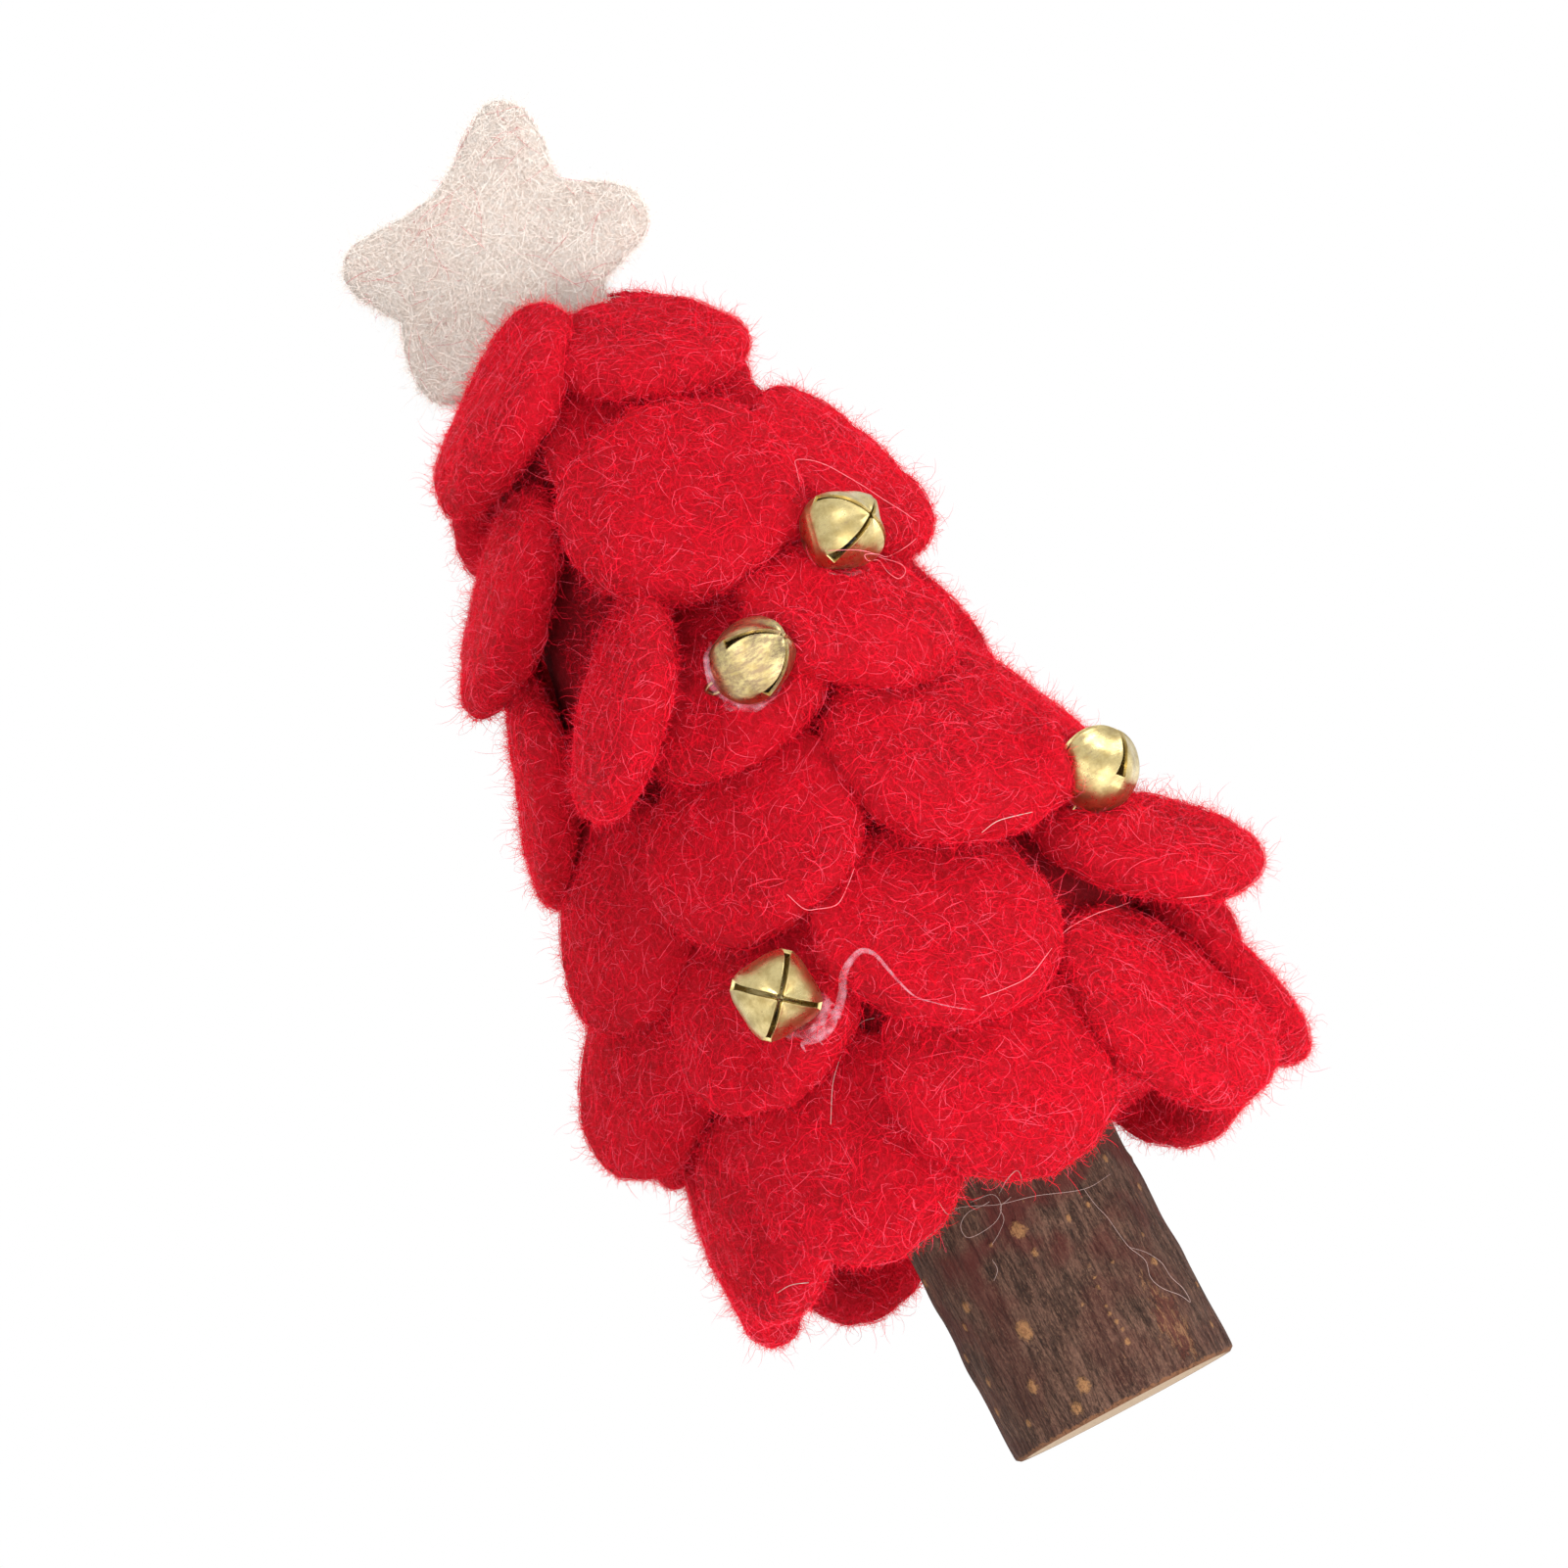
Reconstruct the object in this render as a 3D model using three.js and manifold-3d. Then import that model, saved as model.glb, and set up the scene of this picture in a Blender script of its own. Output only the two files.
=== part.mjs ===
// A small felt Christmas tree that stands on a sawn branch: overlapping rows of thick wool felt
// discs are glued round a felt-covered cone, with a felt star at the tip and four slotted jingle bells.
// Millimetres, +Z up the tree, +X to the tree's right and -Y to its front, with the origin at the
// middle of the trunk's sawn foot.
import * as THREE from 'three';
import { mergeVertices } from 'three/addons/utils/BufferGeometryUtils.js';
import Module from 'manifold-3d';

const wasm = await Module();
wasm.setup();

// Trunk: a piece of branch, sawn square at both ends
const trunkDiameter = 28.6;
const trunkFreeLength = 34;
const trunkSawnEdge = 0.5;
const trunkSides = 32;
const trunkOutlineShares = [1, 0.985, 0.992, 1.012, 1.004, 0.986, 0.996, 1.014, 1.002, 0.988, 0.982, 1.006];

// Core: a cone covered in red felt, with a round socket in its base for the trunk
const coreBaseDiameter = 63;
const coreTipDiameter = 27;
const coreHeight = 111;
const coreEdge = 3;
const coreTipRound = 8;
const coreSides = 36;
const coreTipAngles = [30, 60, 90];
const socketDepth = 9;
const socketClearance = 0.6;

// Felt discs
const discDiameter = 27;
const feltThickness = 3;
const feltEdgeRound = 1.2;
const discBendRadius = 44;
const discDroopRadius = 80;
const feltPressedThickness = 1.2;
const feltPressedLength = 12;
const crownDrawShare = 2;
const discSides = 16;
const discRingShare = 0.56;
const feltClearance = 0.5;
const skirtHeight = 27;
const rowSpacing = 20;

// Star
const starTipRadius = 20.3;
const starNotchRadius = 12.6;
const starSideways = -1.9;
const starThickness = 3.4;
const starEdgeRound = 0.6;
const starBluntShare = 0.3;
const starCurveSteps = 4;

// A hand-cut star with blunt tips. Each arm has its own direction, measured from straight up
// towards the tree's right, its own length as a share of the tip radius, and the depth of the notch
// that follows it as a share of the notch radius.
const starArmShares = [
  [28, 1.13, 0.94], [99, 1.02, 1.06], [163, 0.93, 1.05], [229, 1.04, 1.11], [296, 1.02, 0.89],
];

// Jingle bells
const bellDiameter = 10;
const bellWall = 0.4;
const bellSlotWidth = 0.55;
const bellSlotEndDiameter = 1.1;
const bellBallDiameter = 3;
const bellLoopWidth = 2.6;
const bellLoopHeight = 1.7;
const bellLoopWire = 0.5;
const bellGlueDiameter = 6.4;
const bellGlueThickness = 1.3;
const bellGlueWaistShare = 0.94;
const bellGlueSeatShares = [0.84, 0.56, 0.28, 0];
const bellSlotReach = 88;
const bellSides = 20;
const bellRings = 10;
const bellGlueSides = 12;
const bellBallSides = 10;
const bellBallRings = 6;
const bellSlotEndSides = 8;
const bellLoopSteps = 10;
const bellLoopCurveSteps = 3;

// The least gap left between pieces that touch
const fitGap = 0.3;

// How far a cutting shape runs past what it cuts
const cutOverrun = 1;

const degree = Math.PI / 180;
const quarterTurn = 90 * degree;
const discRadius = discDiameter / 2;
const bellRadius = bellDiameter / 2;
const coreBaseHeight = trunkFreeLength;
const coreTopHeight = coreBaseHeight + coreHeight;

// The rows from the lowest up. liftShare sets a row's lower edge above the skirt in row spacings,
// and lean is how far its discs lean out from upright. In a row the discs stand in the order in
// which they were glued, each as [azimuth, liftShare, extra lean, turn, size]: azimuth is measured
// from the front towards the tree's right, liftShare is in disc radii, turn swings the disc about
// its own slope, with its right edge outwards, and size is a share of the full disc, where left out 1.
const discRows = [
  {
    name: 'row1', liftShare: 0, lean: 4,
    discs: [
      [175, 0, 0, 0], [-142, -0.12, 0, 0], [-101, -0.05, -6, 0, 0.9], [-57, -0.06, -3, 0, 0.85],
      [-23, -0.1, 0, 0, 0.9], [9, -0.1, 0, -4, 0.9], [49, -0.25, 8, -2], [88, 0, 8, 0], [133, -0.1, 0, 0],
    ],
  },
  {
    name: 'row2', liftShare: 0.8, lean: 16,
    discs: [
      [165, 0, 0, 0], [-150, 0, 0, 0], [107, -0.15, 2, 0], [-99, 0.4, -4, 0, 0.9], [-70, 0.42, 8, -30],
      [-27, 0.2, 0, 0, 0.95], [12, 0, 0, 0, 0.98], [66, 0.2, 24, 10, 0.98],
    ],
  },
  {
    name: 'row3', liftShare: 1.83, lean: 16,
    discs: [
      [-170, 0, 0, 0], [134, 0, 0, 0], [-114, 0, 0, 0], [80, 0, 0, 0], [-58, 0, 4, -16],
      [-13, -0.1, 0, 0, 0.95], [31, -0.2, 0, 0, 0.97],
    ],
  },
  {
    name: 'row4', liftShare: 2.84, lean: 15,
    discs: [
      [158, 0, 0, 0], [-138, 0, 0, 0], [108, 0.1, -8, 0, 0.9], [-80, 0, -4, 0], [-5, -0.2, 0, 0, 0.95],
      [-27, 0.08, 22, 26, 0.95], [31, -0.15, 0, 0, 0.95],
    ],
  },
  {
    name: 'row5', liftShare: 3.84, lean: 14,
    discs: [
      [154, 0, 0, 0], [-128, 0, 0, 0], [16, 0.6, 0, 0], [58, -0.34, -2, 0, 0.94], [-60, 0.2, 18, 0],
      [7, -0.2, 0, 0],
    ],
  },
  {
    name: 'row6', liftShare: 5, lean: 34,
    discs: [
      [150, 0.3, 0, 0], [-125, 0.3, 4, 0], [29, 0.06, 2, 0, 0.9], [-36, 0.15, 0, 0],
    ],
  },
];

// The bells: the disc that each one sits on, its place on that disc's face in disc radii as
// [sideways, down the slope], the direction in which its slots cross, and its spin about it.
const bells = [
  { name: 'bell1', disc: 'row2_disc6', placeShares: [0.46, 0.45], facing: [0.08, -0.956, -0.28], spin: 55 },
  { name: 'bell2', disc: 'row4_disc5', placeShares: [0.35, 0.48], facing: [0.898, -0.44, 0.031], spin: 44 },
  { name: 'bell3', disc: 'row4_disc7', placeShares: [-0.1, -0.27], facing: [0.72, -0.659, -0.216], spin: -3 },
  { name: 'bell4', disc: 'row2_disc8', placeShares: [-0.45, -0.35], facing: [0.756, -0.203, 0.623], spin: 31 },
];

// Materials
const redFelt = new THREE.MeshStandardMaterial({ color: 0xc80f26, roughness: 0.95, metalness: 0 });
const creamFelt = new THREE.MeshStandardMaterial({ color: 0xeeddc8, roughness: 0.95, metalness: 0 });
const bark = new THREE.MeshStandardMaterial({ color: 0x5b4436, roughness: 0.9, metalness: 0 });
const coreFelt = new THREE.MeshStandardMaterial({ color: 0xa50c1e, roughness: 0.95, metalness: 0 });
const brass = new THREE.MeshStandardMaterial({ color: 0xbfa468, roughness: 0.35, metalness: 1 });
const steel = new THREE.MeshStandardMaterial({ color: 0x9a9a9c, roughness: 0.35, metalness: 1 });
const hotGlue = new THREE.MeshStandardMaterial({
  color: 0xe6dcd8, roughness: 0.3, metalness: 0, transparent: true, opacity: 0.6,
});

// Closed bodies

// A geometry with merged corners whose faces all point out
function closedBody(geometry) {
  const bare = geometry.index ? geometry.clone() : geometry;
  bare.deleteAttribute('normal');
  bare.deleteAttribute('uv');
  const merged = mergeVertices(bare);
  const place = merged.getAttribute('position');
  const index = Array.from(merged.index.array);
  const corner = [new THREE.Vector3(), new THREE.Vector3(), new THREE.Vector3()];
  const kept = [];
  let volume = 0;
  for (let i = 0; i < index.length; i += 3) {
    const [a, b, c] = index.slice(i, i + 3);
    if (a === b || b === c || c === a) continue;
    kept.push([a, b, c]);
    corner.forEach((point, j) => point.fromBufferAttribute(place, [a, b, c][j]));
    volume += corner[0].dot(corner[1].clone().cross(corner[2]));
  }
  merged.setIndex(kept.flatMap(([a, b, c]) => (volume < 0 ? [a, c, b] : [a, b, c])));
  return merged;
}

function toSolid(geometry) {
  const body = closedBody(geometry);
  return new wasm.Manifold(new wasm.Mesh({
    numProp: 3,
    vertProperties: new Float32Array(body.getAttribute('position').array),
    triVerts: new Uint32Array(body.index.array),
  }));
}

function fromSolid(solid) {
  const mesh = solid.getMesh();
  const geometry = new THREE.BufferGeometry();
  geometry.setAttribute('position', new THREE.BufferAttribute(new Float32Array(mesh.vertProperties), 3));
  geometry.setIndex(new THREE.BufferAttribute(new Uint32Array(mesh.triVerts), 1));
  return geometry;
}

function cutBy(geometry, cutters) {
  return fromSolid(cutters.reduce((solid, cutter) => solid.subtract(toSolid(cutter)), toSolid(geometry)));
}

function addPiece(group, name, geometry, material) {
  const mesh = new THREE.Mesh(geometry, material);
  mesh.name = name;
  group.add(mesh);
  return mesh;
}

// A profile of [radius, height] pairs turned about +Z
function turned(profile, sides) {
  const lathe = new THREE.LatheGeometry(profile.map(([r, h]) => new THREE.Vector2(r, h)), sides);
  return lathe.rotateX(quarterTurn);
}

// Trunk and core

function trunkGeometry() {
  const radius = trunkDiameter / 2 - trunkSawnEdge;
  const corners = trunkOutlineShares.map((share, i) => {
    const angle = (i / trunkOutlineShares.length) * 2 * Math.PI;
    return new THREE.Vector3(Math.cos(angle), Math.sin(angle), 0).multiplyScalar(radius * share);
  });
  const outline = new THREE.CatmullRomCurve3(corners, true).getPoints(trunkSides).slice(0, -1);
  const shape = new THREE.Shape(outline.map((point) => new THREE.Vector2(point.x, point.y)));
  const length = trunkFreeLength + socketDepth;
  const log = new THREE.ExtrudeGeometry(shape, {
    depth: length - 2 * trunkSawnEdge,
    bevelSize: trunkSawnEdge,
    bevelThickness: trunkSawnEdge,
    bevelSegments: 1,
  });
  return closedBody(log.translate(0, 0, trunkSawnEdge));
}

const trunkLargestRadius = (trunkDiameter / 2) * Math.max(...trunkOutlineShares);

function coreRadiusAt(height) {
  const share = (height - coreBaseHeight) / coreHeight;
  return THREE.MathUtils.lerp(coreBaseDiameter, coreTipDiameter, share) / 2;
}

// A quarter round for the core's tip, in shares of its radius across and up
const coreTipShares = coreTipAngles.map((angle) => [Math.cos(angle * degree), Math.sin(angle * degree)]);

function coreGeometry() {
  const socketRadius = trunkLargestRadius + socketClearance;
  const socketTop = coreBaseHeight + socketDepth + fitGap;
  return closedBody(turned([
    [0, socketTop],
    [socketRadius, socketTop],
    [socketRadius, coreBaseHeight],
    [coreRadiusAt(coreBaseHeight) - coreEdge, coreBaseHeight],
    [coreRadiusAt(coreBaseHeight + coreEdge), coreBaseHeight + coreEdge],
    [coreRadiusAt(coreTopHeight - coreTipRound), coreTopHeight - coreTipRound],
    ...coreTipShares.map(([across, up]) => [
      coreRadiusAt(coreTopHeight - coreTipRound) - coreTipRound * (1 - across),
      coreTopHeight - coreTipRound * (1 - up),
    ]),
    [0, coreTopHeight],
  ], coreSides));
}

// Felt discs

// The share of its full thickness that a disc has at a place down its slope: it is pressed thin
// along its top edge, where it is glued and the next row covers it
function thicknessShare(down) {
  const pressed = feltPressedThickness / feltThickness;
  const fromTop = down + discRadius;
  return THREE.MathUtils.lerp(pressed, 1, THREE.MathUtils.smoothstep(fromTop, 0, 2 * feltPressedLength));
}

// A point of a flat disc, with x sideways, y through the felt and z down the slope, after its top
// is pressed thin, it is bent round the tree about its own slope, and it droops
function bent(point) {
  const around = point.x / discBendRadius;
  const reach = discBendRadius + point.y * thicknessShare(point.z);
  const through = reach * Math.cos(around) - discBendRadius;
  const down = point.z / discDroopRadius;
  const drop = discDroopRadius + through;
  const out = drop * Math.cos(down) - discDroopRadius;
  return new THREE.Vector3(reach * Math.sin(around), out, drop * Math.sin(down));
}

function unbent(point) {
  const drop = point.y + discDroopRadius;
  const down = Math.atan2(point.z, drop);
  const reach = Math.hypot(point.z, drop) - discDroopRadius + discBendRadius;
  const around = Math.atan2(point.x, reach);
  const through = Math.hypot(point.x, reach) - discBendRadius;
  return new THREE.Vector3(around * discBendRadius, through, down * discDroopRadius);
}

function discProfile() {
  const half = feltThickness / 2;
  const face = discRadius - feltEdgeRound;
  return [
    [0, half], [face * discRingShare, half], [face, half],
    [discRadius, half - feltEdgeRound], [discRadius, feltEdgeRound - half],
    [face, -half], [face * discRingShare, -half], [0, -half],
  ];
}

function discGeometry() {
  const lathe = new THREE.LatheGeometry(discProfile().map(([r, h]) => new THREE.Vector2(r, h)), discSides);
  const place = lathe.getAttribute('position');
  for (let i = 0; i < place.count; i += 1) {
    const point = bent(new THREE.Vector3().fromBufferAttribute(place, i));
    place.setXYZ(i, point.x, point.y, point.z);
  }
  return closedBody(lathe);
}

// Points all over a disc's skin, on which its clearance is measured
const sampleRings = 5;
const sampleSides = 36;

function discSkin() {
  const points = [];
  const face = discRadius - feltEdgeRound;
  const half = feltThickness / 2;
  for (let i = 0; i < sampleSides; i += 1) {
    const angle = (i / sampleSides) * 2 * Math.PI;
    const addPoint = (r, h) => {
      points.push(bent(new THREE.Vector3(r * Math.cos(angle), h, r * Math.sin(angle))));
    };
    for (let ring = 1; ring <= sampleRings; ring += 1) {
      addPoint((face * ring) / sampleRings, half);
      addPoint((face * ring) / sampleRings, -half);
    }
    addPoint(discRadius, half - feltEdgeRound);
    addPoint(discRadius, feltEdgeRound - half);
  }
  return points;
}

// How far a point lies clear of a placed disc, on which it has to lie: the room behind the disc
// counts as taken
function gapToDisc(point, disc) {
  const local = unbent(point.clone().applyMatrix4(disc.inverse));
  const beside = Math.hypot(local.x, local.z) - discRadius;
  const through = local.y - (feltThickness / 2) * thicknessShare(local.z);
  const chamfer = (beside + through + feltEdgeRound) * Math.SQRT1_2;
  const outside = Math.max(Math.hypot(Math.max(beside, 0), Math.max(through, 0)), chamfer);
  return disc.size * (outside > 0 ? outside : Math.max(beside, through));
}

function gapToCore(point) {
  const slope = Math.atan2(coreBaseDiameter / 2 - coreTipDiameter / 2, coreHeight);
  const fromAxis = Math.hypot(point.x, point.y);
  const beside = (fromAxis - coreRadiusAt(point.z)) * Math.cos(slope);
  const across = fromAxis - coreRadiusAt(coreTopHeight - coreTipRound) + coreTipRound;
  const above = point.z - coreTopHeight + coreTipRound;
  if (across > 0 && above > 0) return Math.hypot(across, above) - coreTipRound;
  return Math.max(beside, above - coreTipRound, coreBaseHeight - point.z);
}

// The star stands on the core's flat tip, on the lowest of its arms
const starOutline = starShape(0).getPoints(starCurveSteps).slice(0, -1);
const starHeight = coreTopHeight + fitGap - Math.min(...starOutline.map((point) => point.y));

// How far a point lies outside the star: the distance to its outline in its own plane, joined with
// the distance to its two faces
function gapToStar(point) {
  const at = new THREE.Vector2(point.x - starSideways, point.z - starHeight);
  let nearest = Infinity;
  let inside = false;
  starOutline.forEach((from, i) => {
    const to = starOutline[(i + 1) % starOutline.length];
    const edge = to.clone().sub(from);
    const along = THREE.MathUtils.clamp(at.clone().sub(from).dot(edge) / edge.lengthSq(), 0, 1);
    nearest = Math.min(nearest, at.distanceTo(from.clone().addScaledVector(edge, along)));
    const crosses = (from.y > at.y) !== (to.y > at.y);
    if (crosses && at.x < from.x + ((at.y - from.y) / edge.y) * edge.x) inside = !inside;
  });
  const beside = inside ? -nearest : nearest;
  const through = Math.abs(point.y) - starThickness / 2;
  return Math.hypot(Math.max(beside, 0), Math.max(through, 0)) + Math.min(Math.max(beside, through), 0);
}

// Where a disc's top edge is glued: on the core, or above it where the top row draws together
function seatRadiusAt(height) {
  const above = Math.max(height - coreTopHeight, 0);
  return Math.max(coreRadiusAt(Math.min(height, coreTopHeight)) - above * crownDrawShare, 0);
}

function discMatrix(azimuth, hangRadius, hangHeight, lean, turn, size) {
  const outward = new THREE.Vector3(Math.sin(azimuth), -Math.cos(azimuth), 0);
  const up = new THREE.Vector3(0, 0, 1);
  const slope = outward.clone().multiplyScalar(Math.sin(lean)).addScaledVector(up, -Math.cos(lean));
  const normal = outward.clone().multiplyScalar(Math.cos(lean)).addScaledVector(up, Math.sin(lean));
  const side = new THREE.Vector3(Math.cos(azimuth), Math.sin(azimuth), 0);
  normal.applyAxisAngle(slope, turn);
  side.applyAxisAngle(slope, turn);
  const middle = outward.multiplyScalar(hangRadius).addScaledVector(up, hangHeight);
  middle.addScaledVector(slope, discRadius * size);
  const scale = new THREE.Vector3(size, size, size);
  return new THREE.Matrix4().makeBasis(side, normal, slope).scale(scale).setPosition(middle);
}

// Each disc hangs from its top edge at the core and nestles in until it clears the core and every
// disc glued before it. It leans out a little, swings about its slope or moves out from the core,
// and takes the least of these moves that does, with their costs in millimetres.
const leanStep = 1 * degree;
const leanSteps = 5;
const leanCost = 0.12;
const swingStep = 3 * degree;
const swingSteps = 5;
const swingCost = 0.3;
const outStep = 0.25;
const outSteps = 60;

function nestlingMoves() {
  const moves = [];
  for (let out = 0; out <= outSteps; out += 1) {
    for (let swing = -swingSteps; swing <= swingSteps; swing += 1) {
      for (let lean = 0; lean <= leanSteps; lean += 1) {
        const cost = out * outStep + Math.abs(swing) * swingCost + lean * leanCost;
        moves.push({ out: out * outStep, swing: swing * swingStep, lean: lean * leanStep, cost });
      }
    }
  }
  return moves.sort((one, other) => one.cost - other.cost);
}

function hangDisc({ azimuth, lowerEdge, lean, turn, size }, skin, moves, placed) {
  for (const move of moves) {
    const hangHeight = lowerEdge + discDiameter * size * Math.cos(lean + move.lean);
    const hangRadius = seatRadiusAt(hangHeight) + feltPressedThickness / 2 + feltClearance + move.out;
    const matrix = discMatrix(azimuth, hangRadius, hangHeight, lean + move.lean, turn + move.swing, size);
    const middle = new THREE.Vector3().setFromMatrixPosition(matrix);
    const near = placed.filter((disc) => disc.middle.distanceTo(middle) < discDiameter + feltThickness);
    const clear = skin.every((point) => {
      const at = point.clone().applyMatrix4(matrix);
      return gapToCore(at) >= feltClearance && gapToStar(at) >= feltClearance
        && near.every((disc) => gapToDisc(at, disc) >= feltClearance);
    });
    if (clear) return { matrix, inverse: matrix.clone().invert(), middle, move, size };
  }
  throw new Error('a felt disc finds no clear place');
}

function hangDiscs() {
  const skin = discSkin();
  const moves = nestlingMoves();
  const placed = [];
  discRows.forEach((row) => {
    row.discs.forEach(([azimuth, liftShare, extraLean, turn, size = 1], i) => {
      const place = {
        azimuth: azimuth * degree,
        lowerEdge: skirtHeight + rowSpacing * row.liftShare + discRadius * liftShare,
        lean: (row.lean + extraLean) * degree,
        turn: turn * degree,
        size,
      };
      placed.push({ name: `${row.name}_disc${i + 1}`, ...hangDisc(place, skin, moves, placed) });
    });
  });
  return placed;
}

// Star

// The star's outline, drawn in by an inset all round
function starShape(inset) {
  const at = (direction, radius) => new THREE.Vector2(
    radius * Math.sin(direction * degree),
    radius * Math.cos(direction * degree),
  );
  const arms = starArmShares.map(([direction, share]) => at(direction, starTipRadius * share - inset));
  const notches = starArmShares.map(([direction, , notchShare], i) => {
    const last = i + 1 === starArmShares.length;
    const next = last ? starArmShares[0][0] + 360 : starArmShares[i + 1][0];
    return at((direction + next) / 2, starNotchRadius * notchShare - inset);
  });
  const shape = new THREE.Shape();
  arms.forEach((tip, i) => {
    const before = notches[(i + notches.length - 1) % notches.length];
    const after = notches[i];
    const start = tip.clone().lerp(before, starBluntShare);
    const end = tip.clone().lerp(after, starBluntShare);
    if (i === 0) shape.moveTo(start.x, start.y);
    else shape.lineTo(start.x, start.y);
    shape.quadraticCurveTo(tip.x, tip.y, end.x, end.y);
    shape.lineTo(after.x, after.y);
  });
  shape.closePath();
  return shape;
}

function starGeometry() {
  const plate = new THREE.ExtrudeGeometry(starShape(starEdgeRound), {
    depth: starThickness - 2 * starEdgeRound,
    bevelSize: starEdgeRound,
    bevelThickness: starEdgeRound,
    bevelSegments: 1,
    curveSegments: starCurveSteps,
  });
  plate.translate(0, 0, starEdgeRound - starThickness / 2).rotateX(quarterTurn);
  return closedBody(plate.translate(starSideways, 0, starHeight));
}

// Jingle bells, each made about its own middle with its slots crossing on +Z

function ballProfile(radius) {
  const profile = [];
  for (let i = 0; i <= bellRings; i += 1) {
    const angle = (i / bellRings) * Math.PI;
    profile.push([radius * Math.sin(angle), -radius * Math.cos(angle)]);
  }
  return profile;
}

// A hollow ball cut by two crossed slots, each with a round hole at both ends
function bellShellGeometry() {
  const slotEnd = bellRadius * Math.cos(bellSlotReach * degree);
  const slotDepth = bellRadius - slotEnd + cutOverrun;
  const slotLength = 2 * (bellRadius + cutOverrun);
  const endRadius = bellSlotEndDiameter / 2;
  const slot = new THREE.BoxGeometry(slotLength, bellSlotWidth, slotDepth);
  slot.translate(0, 0, slotEnd + slotDepth / 2);
  const ends = new THREE.CylinderGeometry(endRadius, endRadius, slotLength, bellSlotEndSides);
  ends.rotateZ(quarterTurn).translate(0, 0, slotEnd);
  const cutters = [turned(ballProfile(bellRadius - bellWall), bellSides), slot, ends];
  cutters.push(slot.clone().rotateZ(quarterTurn), ends.clone().rotateZ(quarterTurn));
  return cutBy(turned(ballProfile(bellRadius), bellSides), cutters);
}

function bellLoopGeometry() {
  const start = -Math.sqrt(bellRadius ** 2 - (bellLoopWidth / 2) ** 2) - fitGap;
  const wireRadius = bellLoopWire / 2;
  const half = bellLoopWidth / 2 - wireRadius;
  const end = -bellRadius - bellLoopHeight + wireRadius;
  const shoulder = end + half;
  const path = new THREE.CurvePath();
  path.add(new THREE.LineCurve3(new THREE.Vector3(-half, 0, start), new THREE.Vector3(-half, 0, shoulder)));
  path.add(new THREE.CubicBezierCurve3(
    new THREE.Vector3(-half, 0, shoulder),
    new THREE.Vector3(-half, 0, end),
    new THREE.Vector3(half, 0, end),
    new THREE.Vector3(half, 0, shoulder),
  ));
  path.add(new THREE.LineCurve3(new THREE.Vector3(half, 0, shoulder), new THREE.Vector3(half, 0, start)));
  const section = new THREE.Shape().absarc(0, 0, wireRadius, 0, 2 * Math.PI);
  return closedBody(new THREE.ExtrudeGeometry(section, {
    steps: bellLoopSteps,
    curveSegments: bellLoopCurveSteps,
    extrudePath: path,
  }));
}

// A bell sits where it is seen on its disc. Where it would meet another disc there, it slides down
// the slope or stands on more glue, by the least distance that clears it.
const seatStep = 0.25;
const seatSteps = 24;

function seatMoves() {
  const moves = [];
  for (let slide = 0; slide <= seatSteps; slide += 1) {
    for (let lift = 0; lift <= seatSteps; lift += 1) {
      moves.push({ slide: slide * seatStep, lift: lift * seatStep });
    }
  }
  return moves.sort((one, other) => one.slide + one.lift - other.slide - other.lift);
}

// How far a point lies clear of a bell and of the upright dab of glue under it
function gapToBell(point, { middle, outOfFelt, glueThickness }) {
  const apart = point.clone().sub(middle);
  const above = apart.dot(outOfFelt);
  const aside = Math.sqrt(Math.max(apart.lengthSq() - above ** 2, 0));
  const besideDab = Math.max(aside - bellGlueDiameter / 2, above, -bellRadius - glueThickness - above);
  return Math.min(apart.length() - bellRadius, besideDab);
}

function seatBell([sideShare, slopeShare], disc, others) {
  const skin = discSkin();
  const felt = others.flatMap((other) => skin.map((point) => point.clone().applyMatrix4(other.matrix)));
  for (const { slide, lift } of seatMoves()) {
    const feltAt = (through) => {
      const flat = new THREE.Vector3(discRadius * sideShare, through, discRadius * slopeShare + slide);
      return bent(flat).applyMatrix4(disc.matrix);
    };
    const face = feltAt(feltThickness / 2);
    const outOfFelt = face.clone().sub(feltAt(0)).normalize();
    const glueThickness = bellGlueThickness + lift;
    const middle = face.addScaledVector(outOfFelt, bellRadius + glueThickness);
    const seat = { middle, outOfFelt, glueThickness };
    if (felt.every((point) => gapToBell(point, seat) >= fitGap)) return seat;
  }
  throw new Error('a bell finds no clear place');
}

// A low mound with a round hollow on top, in which the bell sits, and room for the bell's loop;
// +Z is out of the felt, and loopTurn turns +Z to the bell's own axis
function bellGlueGeometry(thickness, loopTurn) {
  const hollow = bellRadius + fitGap;
  const base = -bellRadius - thickness + fitGap;
  const outer = bellGlueDiameter / 2;
  const profile = [[0, base], [outer, base], [outer * bellGlueWaistShare, base + thickness / 2]];
  bellGlueSeatShares.forEach((share) => {
    profile.push([outer * share, -Math.sqrt(hollow ** 2 - (outer * share) ** 2)]);
  });
  const reach = bellRadius + bellLoopHeight + fitGap;
  const room = new THREE.BoxGeometry(bellLoopWidth + 2 * fitGap, bellLoopWire + 2 * fitGap, reach);
  room.translate(0, 0, -reach / 2).applyQuaternion(loopTurn);
  return cutBy(turned(profile, bellGlueSides), [room]);
}

const tree = new THREE.Group();

addPiece(tree, 'trunk_log', trunkGeometry(), bark);
addPiece(tree, 'core_cone', coreGeometry(), coreFelt);
addPiece(tree, 'star', starGeometry(), creamFelt);

const feltDisc = discGeometry();
const discs = hangDiscs();
discs.forEach((disc) => {
  const mesh = addPiece(tree, disc.name, feltDisc, redFelt);
  disc.matrix.decompose(mesh.position, mesh.quaternion, mesh.scale);
});

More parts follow.
